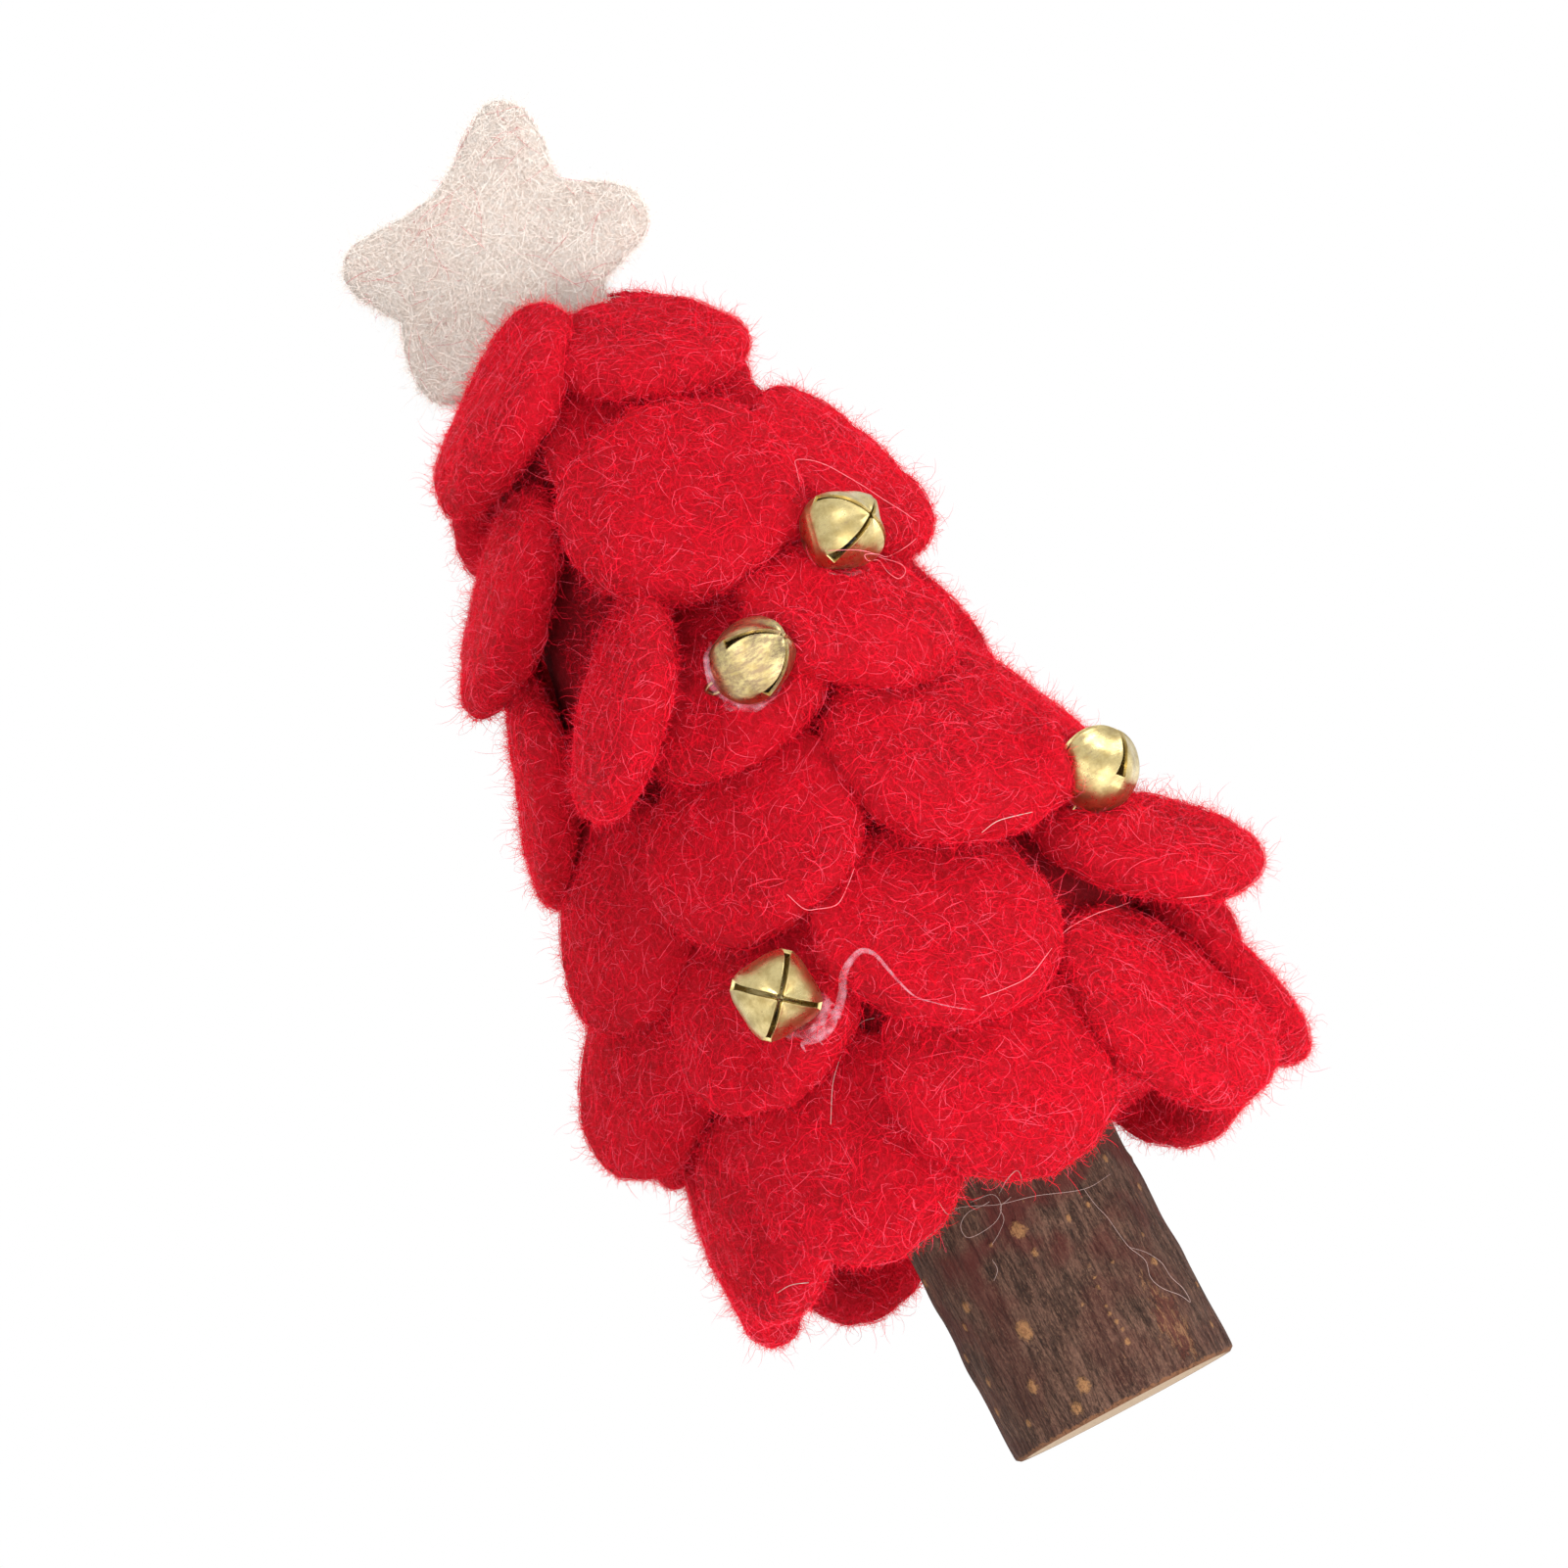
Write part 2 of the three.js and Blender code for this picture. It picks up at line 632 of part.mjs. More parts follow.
const shell = bellShellGeometry();
const loop = bellLoopGeometry();
const ball = closedBody(new THREE.SphereGeometry(bellBallDiameter / 2, bellBallSides, bellBallRings));

bells.forEach(({ name, disc: discName, placeShares, facing, spin }) => {
  const disc = discs.find((placed) => placed.name === discName);
  const others = discs.filter((placed) => placed !== disc);
  const { middle, outOfFelt, glueThickness } = seatBell(placeShares, disc, others);
  const zAxis = new THREE.Vector3(0, 0, 1);
  const turn = new THREE.Quaternion().setFromUnitVectors(zAxis, new THREE.Vector3(...facing).normalize());
  turn.multiply(new THREE.Quaternion().setFromAxisAngle(zAxis, spin * degree));

  const bell = new THREE.Group();
  bell.position.copy(middle);
  bell.quaternion.copy(turn);
  addPiece(bell, `${name}_shell`, shell, brass);
  addPiece(bell, `${name}_loop`, loop, brass);
  tree.add(bell);

  const rolling = addPiece(tree, `${name}_ball`, ball, steel);
  const drop = bellRadius - bellWall - bellBallDiameter / 2 - fitGap;
  rolling.position.copy(middle).addScaledVector(zAxis, -drop);

  const dabTurn = new THREE.Quaternion().setFromUnitVectors(zAxis, outOfFelt);
  const loopTurn = dabTurn.clone().invert().multiply(turn);
  const dab = addPiece(tree, `${name}_glue`, bellGlueGeometry(glueThickness, loopTurn), hotGlue);
  dab.position.copy(middle);
  dab.quaternion.copy(dabTurn);
});

export default tree;
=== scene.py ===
import math

import bmesh
import bpy
import numpy as np
from mathutils import Matrix, Quaternion, Vector, noise
from mathutils.bvhtree import BVHTree


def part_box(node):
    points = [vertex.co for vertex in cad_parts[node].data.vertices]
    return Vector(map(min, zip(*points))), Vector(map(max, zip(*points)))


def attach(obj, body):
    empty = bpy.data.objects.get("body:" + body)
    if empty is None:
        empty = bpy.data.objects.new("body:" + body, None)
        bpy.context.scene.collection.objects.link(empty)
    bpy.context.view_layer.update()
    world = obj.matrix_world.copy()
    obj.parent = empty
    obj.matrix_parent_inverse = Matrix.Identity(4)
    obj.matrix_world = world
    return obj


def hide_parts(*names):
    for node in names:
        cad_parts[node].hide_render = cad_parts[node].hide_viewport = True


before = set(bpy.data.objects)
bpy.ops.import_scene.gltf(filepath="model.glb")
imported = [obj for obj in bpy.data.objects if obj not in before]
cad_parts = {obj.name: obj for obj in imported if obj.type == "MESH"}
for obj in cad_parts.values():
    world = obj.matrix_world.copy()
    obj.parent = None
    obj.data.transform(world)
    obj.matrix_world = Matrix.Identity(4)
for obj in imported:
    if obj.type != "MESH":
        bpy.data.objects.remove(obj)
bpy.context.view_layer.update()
scene = bpy.context.scene
mm = 0.001
seedNumber = 11
seed = np.random.default_rng(seedNumber)
noise.seed_set(seedNumber)

# View. The tree is seen from a little below its middle, and it leans to the left in the picture.
view = {
    "aim": Vector((-1.2, 0, 84.2)) * mm,
    "distance": 400 * mm,
    "lookUp": math.radians(13.7),
    "roll": math.radians(28),
    "lens": 75.71,
    "sensor": 36,
    "nearest": 0.01,
    "floorSize": 6,
    "floorDrop": 0.05 * mm,
    "white": 1.0,
    "skyLight": 0.85,
    "floorGlow": 0.12,
}
lookUp, roll = view["lookUp"], view["roll"]
ahead = Vector((0, math.cos(lookUp), math.sin(lookUp)))
treeSide = Vector((1, 0, 0))
treeUp = Vector((0, -math.sin(lookUp), math.cos(lookUp)))
viewRight = treeSide * math.cos(roll) - treeUp * math.sin(roll)
viewTop = treeUp * math.cos(roll) + treeSide * math.sin(roll)
eye = view["aim"] - ahead * view["distance"]


# Materials are written as sums of sockets. A Wire is one output, and a Recipe is one material.
class Wire:
    def __init__(self, recipe, socket):
        self.recipe = recipe
        self.socket = socket

    def math(self, operation, first, second):
        return self.recipe.add("ShaderNodeMath", {"operation": operation}, [first, second])

    def __add__(self, other):
        return self.math("ADD", self, other)

    def __sub__(self, other):
        return self.math("SUBTRACT", self, other)

    def __rsub__(self, other):
        return self.math("SUBTRACT", other, self)

    def __mul__(self, other):
        return self.math("MULTIPLY", self, other)

    __radd__ = __add__
    __rmul__ = __mul__


class Recipe:
    def __init__(self, name, tree=None):
        if tree is None:
            self.material = bpy.data.materials.new(name)
            self.material.use_nodes = True
            tree = self.material.node_tree
        self.tree = tree
        self.tree.nodes.clear()

    # Adds a node: its settings come first, then its inputs by name or place
    def add(self, kind, settings=None, inputs=(), output=0):
        node = self.tree.nodes.new(kind)
        for name, value in (settings or {}).items():
            setattr(node, name, value)
        pairs = inputs.items() if isinstance(inputs, dict) else enumerate(inputs)
        for name, value in pairs:
            if isinstance(value, Wire):
                self.tree.links.new(value.socket, node.inputs[name])
            else:
                node.inputs[name].default_value = value
        return Wire(self, node.outputs[output]) if node.outputs else None

    def place(self):
        return self.add("ShaderNodeTexCoord", output="Object")

    def stretched(self, place, scale):
        return self.add("ShaderNodeVectorMath", {"operation": "MULTIPLY"}, [place, scale])

    # Cloudy variation from 0 to 1, with features of about the given size in metres
    def clouds(self, place, size, detail=2, roughness=0.5, distortion=0):
        inputs = {"Vector": place, "Scale": 1 / size, "Detail": detail, "Roughness": roughness,
                  "Distortion": distortion}
        return self.add("ShaderNodeTexNoise", None, inputs)

    def ramp(self, value, low, high, start=0.0, end=1.0):
        settings = {"interpolation_type": "SMOOTHSTEP", "clamp": True}
        return self.add("ShaderNodeMapRange", settings, [value, low, high, start, end])

    def mix(self, share, first, second):
        inputs = {"Factor": share, 6: first, 7: second}
        return self.add("ShaderNodeMix", {"data_type": "RGBA"}, inputs, output=2)

    # Lays colours over a ground in turn, each where its mask is
    def layered(self, ground, *layers):
        for mask, colour in layers:
            ground = self.mix(mask, ground, srgb(*colour))
        return ground

    def bump(self, height, depth):
        inputs = {"Height": height, "Distance": depth, "Strength": 1}
        return self.add("ShaderNodeBump", None, inputs)

    # A value painted on the mesh's corners
    def painted(self, name):
        return self.add("ShaderNodeAttribute", {"attribute_name": name}, output=2)

    def finish(self, shader):
        self.add("ShaderNodeOutputMaterial", None, {"Surface": shader})
        return self.material

    def surface(self, inputs):
        return self.finish(self.add("ShaderNodeBsdfPrincipled", None, inputs))


def srgb(red, green, blue):
    def linear(value):
        value /= 255
        return value / 12.92 if value <= 0.04045 else ((value + 0.055) / 1.055) ** 2.4
    return (linear(red), linear(green), linear(blue), 1)


# Felt: matted wool. Curled fibres show as fine light lines over a cloudy ground.
def feltMaterial(name, look):
    r = Recipe(name)
    place = r.place()
    patches = r.clouds(place, look["patchSize"], 3)
    turn = r.clouds(place, look["curlSize"], 2) * (4 * math.pi)
    swirl = r.add("ShaderNodeVectorRotate", {"rotation_type": "AXIS_ANGLE"},
                  {"Vector": place, "Axis": (0.5, -0.8, 0.33), "Angle": turn})
    strands = r.clouds(r.stretched(swirl, (1, 6, 6)), look["strandLength"], 2, 0.6, 0.4)
    across = r.clouds(r.stretched(swirl, (6, 1, 6)), look["strandLength"], 2, 0.6, 0.4)
    hairs = r.ramp(strands, 0.5, 0.68) + r.ramp(across, 0.52, 0.7)
    pores = r.clouds(place, look["poreSize"], 4, 0.7)
    ground = r.mix(r.ramp(patches, 0.3, 0.7), look["deep"], look["main"])
    ground = r.mix(r.ramp(pores, 0.42, 0.7), ground, look["light"])
    colour = r.mix(hairs * look["hairShare"], ground, look["hair"])
    height = hairs * 0.5 + pores
    return r.surface({
        "Base Color": colour,
        "Roughness": r.ramp(pores, 0.3, 0.8, 0.95, 0.78),
        "Specular IOR Level": 0.15,
        "Sheen Weight": look["sheen"],
        "Sheen Roughness": 0.45,
        "Sheen Tint": look["sheenTint"],
        "Normal": r.bump(height, look["bumpDepth"]),
    })


# Single fibres are too thin to carry a pattern: they differ from one another instead
def fibreMaterial(name, colour, sheen=0.0):
    r = Recipe(name)
    return r.surface({
        "Base Color": colour,
        "Roughness": 0.7,
        "Specular IOR Level": 0.15,
        "Sheen Weight": sheen,
        "Sheen Roughness": 0.4,
    })


redLook = {
    "patchSize": 9 * mm, "curlSize": 3.2 * mm, "strandLength": 1.5 * mm, "poreSize": 0.8 * mm,
    "deep": srgb(190, 0, 18), "main": srgb(222, 0, 28), "light": srgb(236, 8, 42),
    "hair": srgb(246, 44, 70), "hairShare": 0.42,
    "sheen": 0.02, "sheenTint": srgb(255, 20, 50), "bumpDepth": 0.3 * mm,
}
creamLook = dict(
    redLook,
    deep=srgb(234, 211, 196), main=srgb(240, 223, 210), light=srgb(246, 236, 228),
    hair=srgb(255, 252, 246), hairShare=0.4,
    sheen=0.15, sheenTint=srgb(255, 250, 246), bumpDepth=0.2 * mm,
)
# The core between the discs is a darker copy of the red felt: painted shade, so that the gaps read as felt
# lying in shade
coreShadeLook = dict(redLook, deep=srgb(140, 0, 14), main=srgb(165, 2, 20), light=srgb(180, 8, 28))
redFelt = feltMaterial("red_felt", redLook)
coreShadedFelt = feltMaterial("core_felt", coreShadeLook)
creamFelt = feltMaterial("cream_felt", creamLook)
redFibres = [
    fibreMaterial("fibre_red", srgb(224, 0, 30)),
    fibreMaterial("fibre_light_red", srgb(242, 16, 48)),
    fibreMaterial("fibre_rose", srgb(248, 78, 102)),
]
creamFibres = [
    fibreMaterial("fibre_cream", srgb(246, 232, 222), 0.1),
    fibreMaterial("fibre_white", srgb(250, 242, 234), 0.1),
    fibreMaterial("fibre_pink", srgb(216, 108, 112)),
]
roseThread = fibreMaterial("rose_thread", srgb(240, 128, 138))
paleThread = fibreMaterial("pale_thread", srgb(190, 174, 168))
duskThread = fibreMaterial("dusk_thread", srgb(164, 140, 134))
print("materials of the felt and fibres are ready")


# Felt pieces take the shape of their CAD solids, evened out, and swell where nothing is in the way
felt = {
    "discDiameter": 27 * mm,
    "weld": 0.002 * mm,
    "voxel": 0.55 * mm,
    "evenRounds": 4,
    "swellRounds": 6,
    "faceSwell": 0.7 * mm,
    "rimSwell": 1.1 * mm,
    "underSwell": 1.8 * mm,
    "starSwell": 0.3 * mm,
    "starRimSwell": 0.3 * mm,
    "starMiddle": (-1.9 * mm, 162.3 * mm),  # across and up
    "starArms": (28, 99, 163, 229, 296),  # degrees from straight up
    "armFrom": 12.5 * mm,
    "armLength": 8 * mm,
    "armWiden": 0.26,
    "nestSwell": 4.2 * mm,
    "nestReach": 3.6 * mm,
    "gapShare": 0.45,
    "nestShare": 0.85,
    "waveSize": 9 * mm,
    "wave": 0.6 * mm,
    "lumpSize": 2.6 * mm,
    "lump": 0.16 * mm,
    "reach": 6 * mm,  # as far as a point looks for its neighbours
    "skip": 0.01 * mm,
}


def newObject(name, data):
    piece = bpy.data.objects.new(name, data)
    scene.collection.objects.link(piece)
    return piece


# A piece that moves with a body and takes the place of a CAD node
def dressed(mesh, body, node):
    piece = newObject(mesh.name, mesh)
    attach(piece, body)
    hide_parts(node)
    return piece


def newMesh(name, points, faces, *materials):
    mesh = bpy.data.meshes.new(name)
    mesh.from_pydata([tuple(p) for p in points], [], faces)
    for material in materials:
        mesh.materials.append(material)
    mesh.shade_smooth()
    mesh.update()
    return mesh


# A rough piece's mesh, once its modifiers have run
def applied(rough):
    graph = bpy.context.evaluated_depsgraph_get()
    mesh = bpy.data.meshes.new_from_object(rough.evaluated_get(graph))
    bpy.data.objects.remove(rough)
    return mesh


def meshValues(items, name, width, kind):
    values = np.zeros(len(items) * width, kind)
    items.foreach_get(name, values)
    return values.reshape(-1, width)


def corners(mesh):
    return meshValues(mesh.vertices, "co", 3, np.float32).astype(float)


def normals(mesh):
    return meshValues(mesh.vertices, "normal", 3, np.float32).astype(float)


def setCorners(mesh, points):
    mesh.vertices.foreach_set("co", np.asarray(points, np.float32).ravel())
    mesh.update()


def unit(vectors):
    return vectors / (np.linalg.norm(vectors, axis=-1, keepdims=True) + 1e-12)


# Each place in a closed row of points, with the next one
def pairsRound(count):
    return [(k, (k + 1) % count) for k in range(count)]


# Several meshes in one search tree, with the name of the one that each face belongs to
def searchTree(meshes):
    points, faces, owners = [], [], []
    for name, mesh in meshes.items():
        start = len(points)
        points += [v.co.copy() for v in mesh.vertices]
        faces += [[start + i for i in face.vertices] for face in mesh.polygons]
        owners += [name] * len(mesh.polygons)
    return BVHTree.FromPolygons(points, faces), owners


# Averages a value or a place with its neighbours' over the mesh
def evened(mesh, values, rounds, share=0.5):
    edges = meshValues(mesh.edges, "vertices", 2, np.int32)
    values = np.array(values, float)
    flat = values.reshape(len(values), -1)
    count = np.bincount(edges.ravel(), minlength=len(flat)).astype(float)[:, None]
    for _ in range(rounds):
        total = np.zeros_like(flat)
        np.add.at(total, edges[:, 0], flat[edges[:, 1]])
        np.add.at(total, edges[:, 1], flat[edges[:, 0]])
        flat = flat * (1 - share) + total / np.maximum(count, 1) * share
    return flat.reshape(values.shape)


def evenMesh(node, name):
    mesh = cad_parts[node].data.copy()
    shape = bmesh.new()
    shape.from_mesh(mesh)
    bmesh.ops.remove_doubles(shape, verts=shape.verts, dist=felt["weld"])
    shape.to_mesh(mesh)
    shape.free()
    rough = newObject(f"{name}_rough", mesh)
    remesh = rough.modifiers.new("even", "REMESH")
    remesh.mode = "VOXEL"
    remesh.voxel_size = felt["voxel"]
    result = applied(rough)
    result.name = name
    result.materials.clear()
    return result


discNames = sorted(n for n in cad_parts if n.startswith("row"))
bellNames = sorted({n.split("_")[0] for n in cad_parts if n.startswith("bell")})
bellRadius = 5 * mm
ballDrop = Vector((0, 0, 2.8 * mm))  # a ball at rest lies this far below its bell's middle
bellMiddles = {n: sum(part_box(f"{n}_ball"), Vector()) / 2 + ballDrop for n in bellNames}
solids, solidOwners = searchTree({n: piece.data for n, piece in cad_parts.items()
                                  if not n.endswith(("_ball", "_loop", "_glue"))})


# How far a point can go before it meets another solid
def roomAhead(point, direction, own, reach):
    start, gone = point.copy(), 0
    while gone < reach:
        hit, _, face, distance = solids.ray_cast(start, direction, reach - gone)
        if hit is None:
            return reach
        gone += distance
        if solidOwners[face] != own:
            return gone
        start = hit + direction * felt["skip"]
        gone += felt["skip"]
    return reach


def waved(points):
    size, depth = felt["waveSize"], felt["wave"]
    return np.array([p + np.array(noise.noise_vector(Vector(p / size))) * depth for p in points])


# The direction through a flat piece, from the spread of its points
def throughOf(points):
    return np.linalg.eigh(np.cov((points - points.mean(0)).T))[1][:, 0]


# The star's arms are nearly as wide near their tips as at their feet
def widened(points):
    place = points[:, ::2] - np.array(felt["starMiddle"])
    turn, far = np.arctan2(place[:, 0], place[:, 1]), np.hypot(place[:, 0], place[:, 1])
    arms = np.radians(felt["starArms"])
    apart = (turn[:, None] - arms + math.pi) % (2 * math.pi) - math.pi
    nearest = np.abs(apart).argmin(1)
    apart = apart[np.arange(len(points)), nearest]
    along, aside = far * np.cos(apart), far * np.sin(apart)
    share = np.clip((along - felt["armFrom"]) / felt["armLength"], 0, 1)
    aside = aside * (1 + felt["armWiden"] * share)
    arm = arms[nearest]
    result = points.copy()
    result[:, 0] = felt["starMiddle"][0] + along * np.sin(arm) + aside * np.cos(arm)
    result[:, 2] = felt["starMiddle"][1] + along * np.cos(arm) - aside * np.sin(arm)
    return result


# Felt swells most at its rim, and it closes round the bells that are pressed into it
def feltMesh(node, name):
    mesh = evenMesh(node, name)
    setCorners(mesh, evened(mesh, corners(mesh), felt["evenRounds"]))
    points, out = corners(mesh), normals(mesh)
    rooms = np.array([roomAhead(Vector(p), Vector(n), node, felt["reach"]) for p, n in zip(points, out)])
    facing = (out @ throughOf(points)) ** 2
    swell = felt["rimSwell"] + (felt["faceSwell"] - felt["rimSwell"]) * facing
    inward = -(out[:, :2] * unit(points[:, :2])).sum(1)
    swell += felt["underSwell"] * np.clip(inward, 0, 1)
    if node == "star":
        swell = felt["starSwell"] + felt["starRimSwell"] * (1 - facing)
    growth = np.minimum(rooms * felt["gapShare"], swell)
    for middle in bellMiddles.values():
        apart = np.linalg.norm(points - np.array(middle), axis=1) - bellRadius
        nest = felt["nestSwell"] * np.exp(-(np.maximum(apart, 0) / felt["nestReach"]) ** 2)
        toward = ((np.array(middle) - points) * out).sum(1) > 0
        growth = np.where(toward, np.maximum(growth, np.minimum(rooms * felt["nestShare"], nest)), growth)
    growth = evened(mesh, growth, felt["swellRounds"])
    lumps = [noise.noise(Vector(p / felt["lumpSize"])) * felt["lump"] for p in points]
    free = np.clip(growth / felt["faceSwell"], 0, 1)
    points = points + out * (growth + np.array(lumps) * free)[:, None]
    if node == "star":
        points = widened(points)
    setCorners(mesh, waved(points))
    mesh.shade_smooth()
    return mesh


# Fibres in three kinds: short ones that stand out of the felt, strays that reach far off it, and
# curls that lie on it. Shares are those of the three fibre colours.
fuzz = {
    "short": {"perArea": 6.8e6, "length": (0.8 * mm, 2.3 * mm), "radius": 0.029 * mm,
              "thickness": (0.7, 1.2), "spread": 0.8, "sway": 0.7, "steps": 3,
              "shares": (0.56, 0.36, 0.08)},
    "stray": {"perArea": 0.8e6, "length": (1.6 * mm, 5.2 * mm), "radius": 0.022 * mm,
              "thickness": (0.7, 1.2), "spread": 0.8, "sway": 0.9, "steps": 6,
              "shares": (0.34, 0.46, 0.2)},
    "curl": {"perArea": 1.4e6, "length": (1.5 * mm, 6.5 * mm), "radius": 0.029 * mm,
             "thickness": (0.7, 1.25), "bend": 0.24, "drift": 0.16, "lift": 0.24 * mm,
             "lifts": (0.2, 1.4), "steps": 6, "shares": (0.32, 0.5, 0.18)},
    "need": 0.5 * mm,  # the room that a fibre has to have ahead
    "sight": 30 * mm,
    "clear": 0.08,  # millimetres out of the felt, where the tests start
    "root": 0.1 * mm,
    "leastLean": 0.15,
    "taper": (0.22, 0.88),
}
starFuzz = dict(
    fuzz,
    short=dict(fuzz["short"], perArea=10e6, length=(1 * mm, 2.6 * mm), radius=0.034 * mm,
               shares=(0.4, 0.59, 0.01)),
    curl=dict(fuzz["curl"], perArea=0.9e6, shares=(0.5, 0.41, 0.09), length=(2.5 * mm, 11 * mm)),
    stray=dict(fuzz["stray"], perArea=2e6, shares=(0.45, 0.53, 0.02)),
)
coreFuzz = dict(
    fuzz,
    short=dict(fuzz["short"], perArea=6.2e6),
    curl=dict(fuzz["curl"], perArea=0.7e6),
    stray=dict(fuzz["stray"], perArea=0.3e6),
)


# Fibres are closed tapered tubes of three sides, all made at once along their paths
def fibreMesh(name, paths, radii, kinds, materials):
    count, steps = paths.shape[:2]
    along = np.empty_like(paths)
    along[:, 1:-1] = paths[:, 2:] - paths[:, :-2]
    along[:, 0], along[:, -1] = paths[:, 1] - paths[:, 0], paths[:, -1] - paths[:, -2]
    along = unit(along)
    across = seed.normal(size=(count, 1, 3))
    across = unit(across - along * (across * along).sum(2, keepdims=True))
    beside = np.cross(along, across)
    rings = steps - 2
    taper = np.sin(np.linspace(*fuzz["taper"], rings) * math.pi) ** 0.5
    size = radii[:, None, None] * taper[None, :, None]
    perFibre = 2 + 3 * rings
    points = np.empty((count, perFibre, 3))
    points[:, 0], points[:, 1] = paths[:, 0], paths[:, -1]
    faces = []
    last = perFibre - 3
    for corner, after in pairsRound(3):
        angle = corner * 2 * math.pi / 3
        spoke = across[:, 1:-1] * math.cos(angle) + beside[:, 1:-1] * math.sin(angle)
        points[:, 2 + corner::3] = paths[:, 1:-1] + spoke * size
        faces += [(0, 2 + after, 2 + corner), (last + corner, last + after, 1)]
        for a in range(2, last, 3):
            b = a + 3
            faces += [(a + corner, a + after, b + after), (a + corner, b + after, b + corner)]
    faces = np.array(faces)
    allFaces = (faces[None] + (np.arange(count) * perFibre)[:, None, None]).reshape(-1, 3)
    mesh = bpy.data.meshes.new(name)
    mesh.vertices.add(count * perFibre)
    mesh.vertices.foreach_set("co", points.astype(np.float32).ravel())
    mesh.loops.add(allFaces.size)
    mesh.loops.foreach_set("vertex_index", allFaces.astype(np.int32).ravel())
    mesh.polygons.add(len(allFaces))
    mesh.polygons.foreach_set("loop_start", np.arange(0, allFaces.size, 3, dtype=np.int32))
    mesh.polygons.foreach_set("material_index", np.repeat(kinds, len(faces)).astype(np.int32))
    for material in materials:
        mesh.materials.append(material)
    mesh.update(calc_edges=True)
    mesh.shade_smooth()
    return mesh


# Places spread evenly over a mesh, with the directions out of it
def placesOn(mesh, count):
    mesh.calc_loop_triangles()
    triangles = meshValues(mesh.loop_triangles, "vertices", 3, np.int32)
    points, out = corners(mesh), normals(mesh)
    a, b, c = (points[triangles[:, i]] for i in range(3))
    area = np.linalg.norm(np.cross(b - a, c - a), axis=1)
    chosen = seed.choice(len(triangles), count, p=area / area.sum())
    first, second = seed.random((2, count))
    first = np.sqrt(first)
    shares = np.stack([1 - first, first * (1 - second), first * second])
    spots = sum(shares[i][:, None] * points[triangles[chosen, i]] for i in range(3))
    outward = sum(shares[i][:, None] * out[triangles[chosen, i]] for i in range(3))
    return spots, unit(outward)


# Fibres grow only where they have room and can be seen from outside the tree
def openPlaces(mesh, perArea, tree):
    count = int(sum(face.area for face in mesh.polygons) * perArea)
    spots, out = placesOn(mesh, count)
    away = unit(spots * (1, 1, 0))
    keep = []
    for i in range(count):
        way, aside = Vector(out[i]), Vector(away[i])
        start = Vector(spots[i]) + way * fuzz["clear"] * mm
        if tree.ray_cast(start, way, fuzz["need"])[0] is not None:
            continue
        views = (way * 2 + aside, way + aside + Vector((0, 0, 1)), way + aside - Vector((0, 0, 1)))
        if any(tree.ray_cast(start, sight, fuzz["sight"])[0] is None for sight in views):
            keep.append(i)
    return spots[keep], out[keep]


def standingFibres(mesh, tree, kind):
    spots, out = openPlaces(mesh, kind["perArea"], tree)
    count, steps = len(spots), kind["steps"]
    lean = unit(out + seed.normal(size=(count, 3)) * kind["spread"])
    lean = unit(lean + out * np.maximum(0, fuzz["leastLean"] - (lean * out).sum(1))[:, None])
    low, high = kind["length"]
    length = (low + (high - low) * seed.random(count) ** 2)[:, None, None]
    sway = seed.normal(size=(2, count, 1, 3)) * kind["sway"]
    t = np.linspace(0, 1, steps)[None, :, None]
    ways = unit(lean[:, None] + sway[0] * t + sway[1] * np.sin(t * 4))
    ways[:, 0] = 0
    start = (spots - out * fuzz["root"])[:, None]
    paths = start + ways.cumsum(1) / (steps - 1) * length
    return paths, kind["radius"] * seed.uniform(*kind["thickness"], count)


# Curls wander over the felt, close to it, and end a little off it
def curledFibres(mesh, tree, kind, surface):
    spots, out = openPlaces(mesh, kind["perArea"], tree)
    count, steps = len(spots), kind["steps"]
    low, high = kind["length"]
    step = (low + (high - low) * seed.random(count) ** 1.5) / (steps - 1)
    heading = unit(np.cross(out, seed.normal(size=(count, 3))))
    bend = seed.normal(size=count) * kind["bend"]
    lift = kind["lift"] * seed.uniform(*kind["lifts"], count)
    paths = np.empty((count, steps, 3))
    for i in range(count):
        at, way, turn = Vector(spots[i]), Vector(heading[i]), bend[i]
        for k in range(steps):
            near, normal, _, _ = surface.find_nearest(at)
            rise = lift[i] * (0.2 + math.sin(k / (steps - 1) * math.pi) ** 0.5)
            paths[i, k] = near + normal * rise
            way = (way - normal * way.dot(normal)).normalized()
            way = Quaternion(normal, turn) @ way
            turn += seed.normal() * kind["drift"]
            at = Vector(paths[i, k]) + way * step[i]
    return paths, kind["radius"] * seed.uniform(*kind["thickness"], count)


def fuzzPieces(name, mesh, tree, looks, materials):
    surface, _ = searchTree({name: mesh})
    short = standingFibres(mesh, tree, looks["short"])
    stray = standingFibres(mesh, tree, looks["stray"])
    curls = curledFibres(mesh, tree, looks["curl"], surface)
    colours = [seed.choice(len(materials), len(paths), p=looks[kind]["shares"])
               for kind, (paths, _) in (("short", short), ("stray", stray), ("curl", curls))]
    long = [np.concatenate(pair) for pair in zip(stray, curls)]
    pieces = []
    for label, (paths, radii), kinds in (("fuzz", short, colours[0]),
                                         ("curls", long, np.concatenate(colours[1:]))):
        fibres = fibreMesh(f"{name}_{label}", paths, radii, kinds, materials)
        pieces.append(newObject(fibres.name, fibres))
        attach(pieces[-1], "tree")
    return pieces


feltMeshes = {name: feltMesh(name, f"{name}_felt") for name in [*discNames, "star"]}
# The core's cover carries the darker felt, a sheet of painted shade seen only in the gaps between the
# discs
feltMeshes["core_cone"] = feltMesh("core_cone", "shaded_core_cover")
feltTree, _ = searchTree(feltMeshes)
print("felt discs, star and core are shaped")

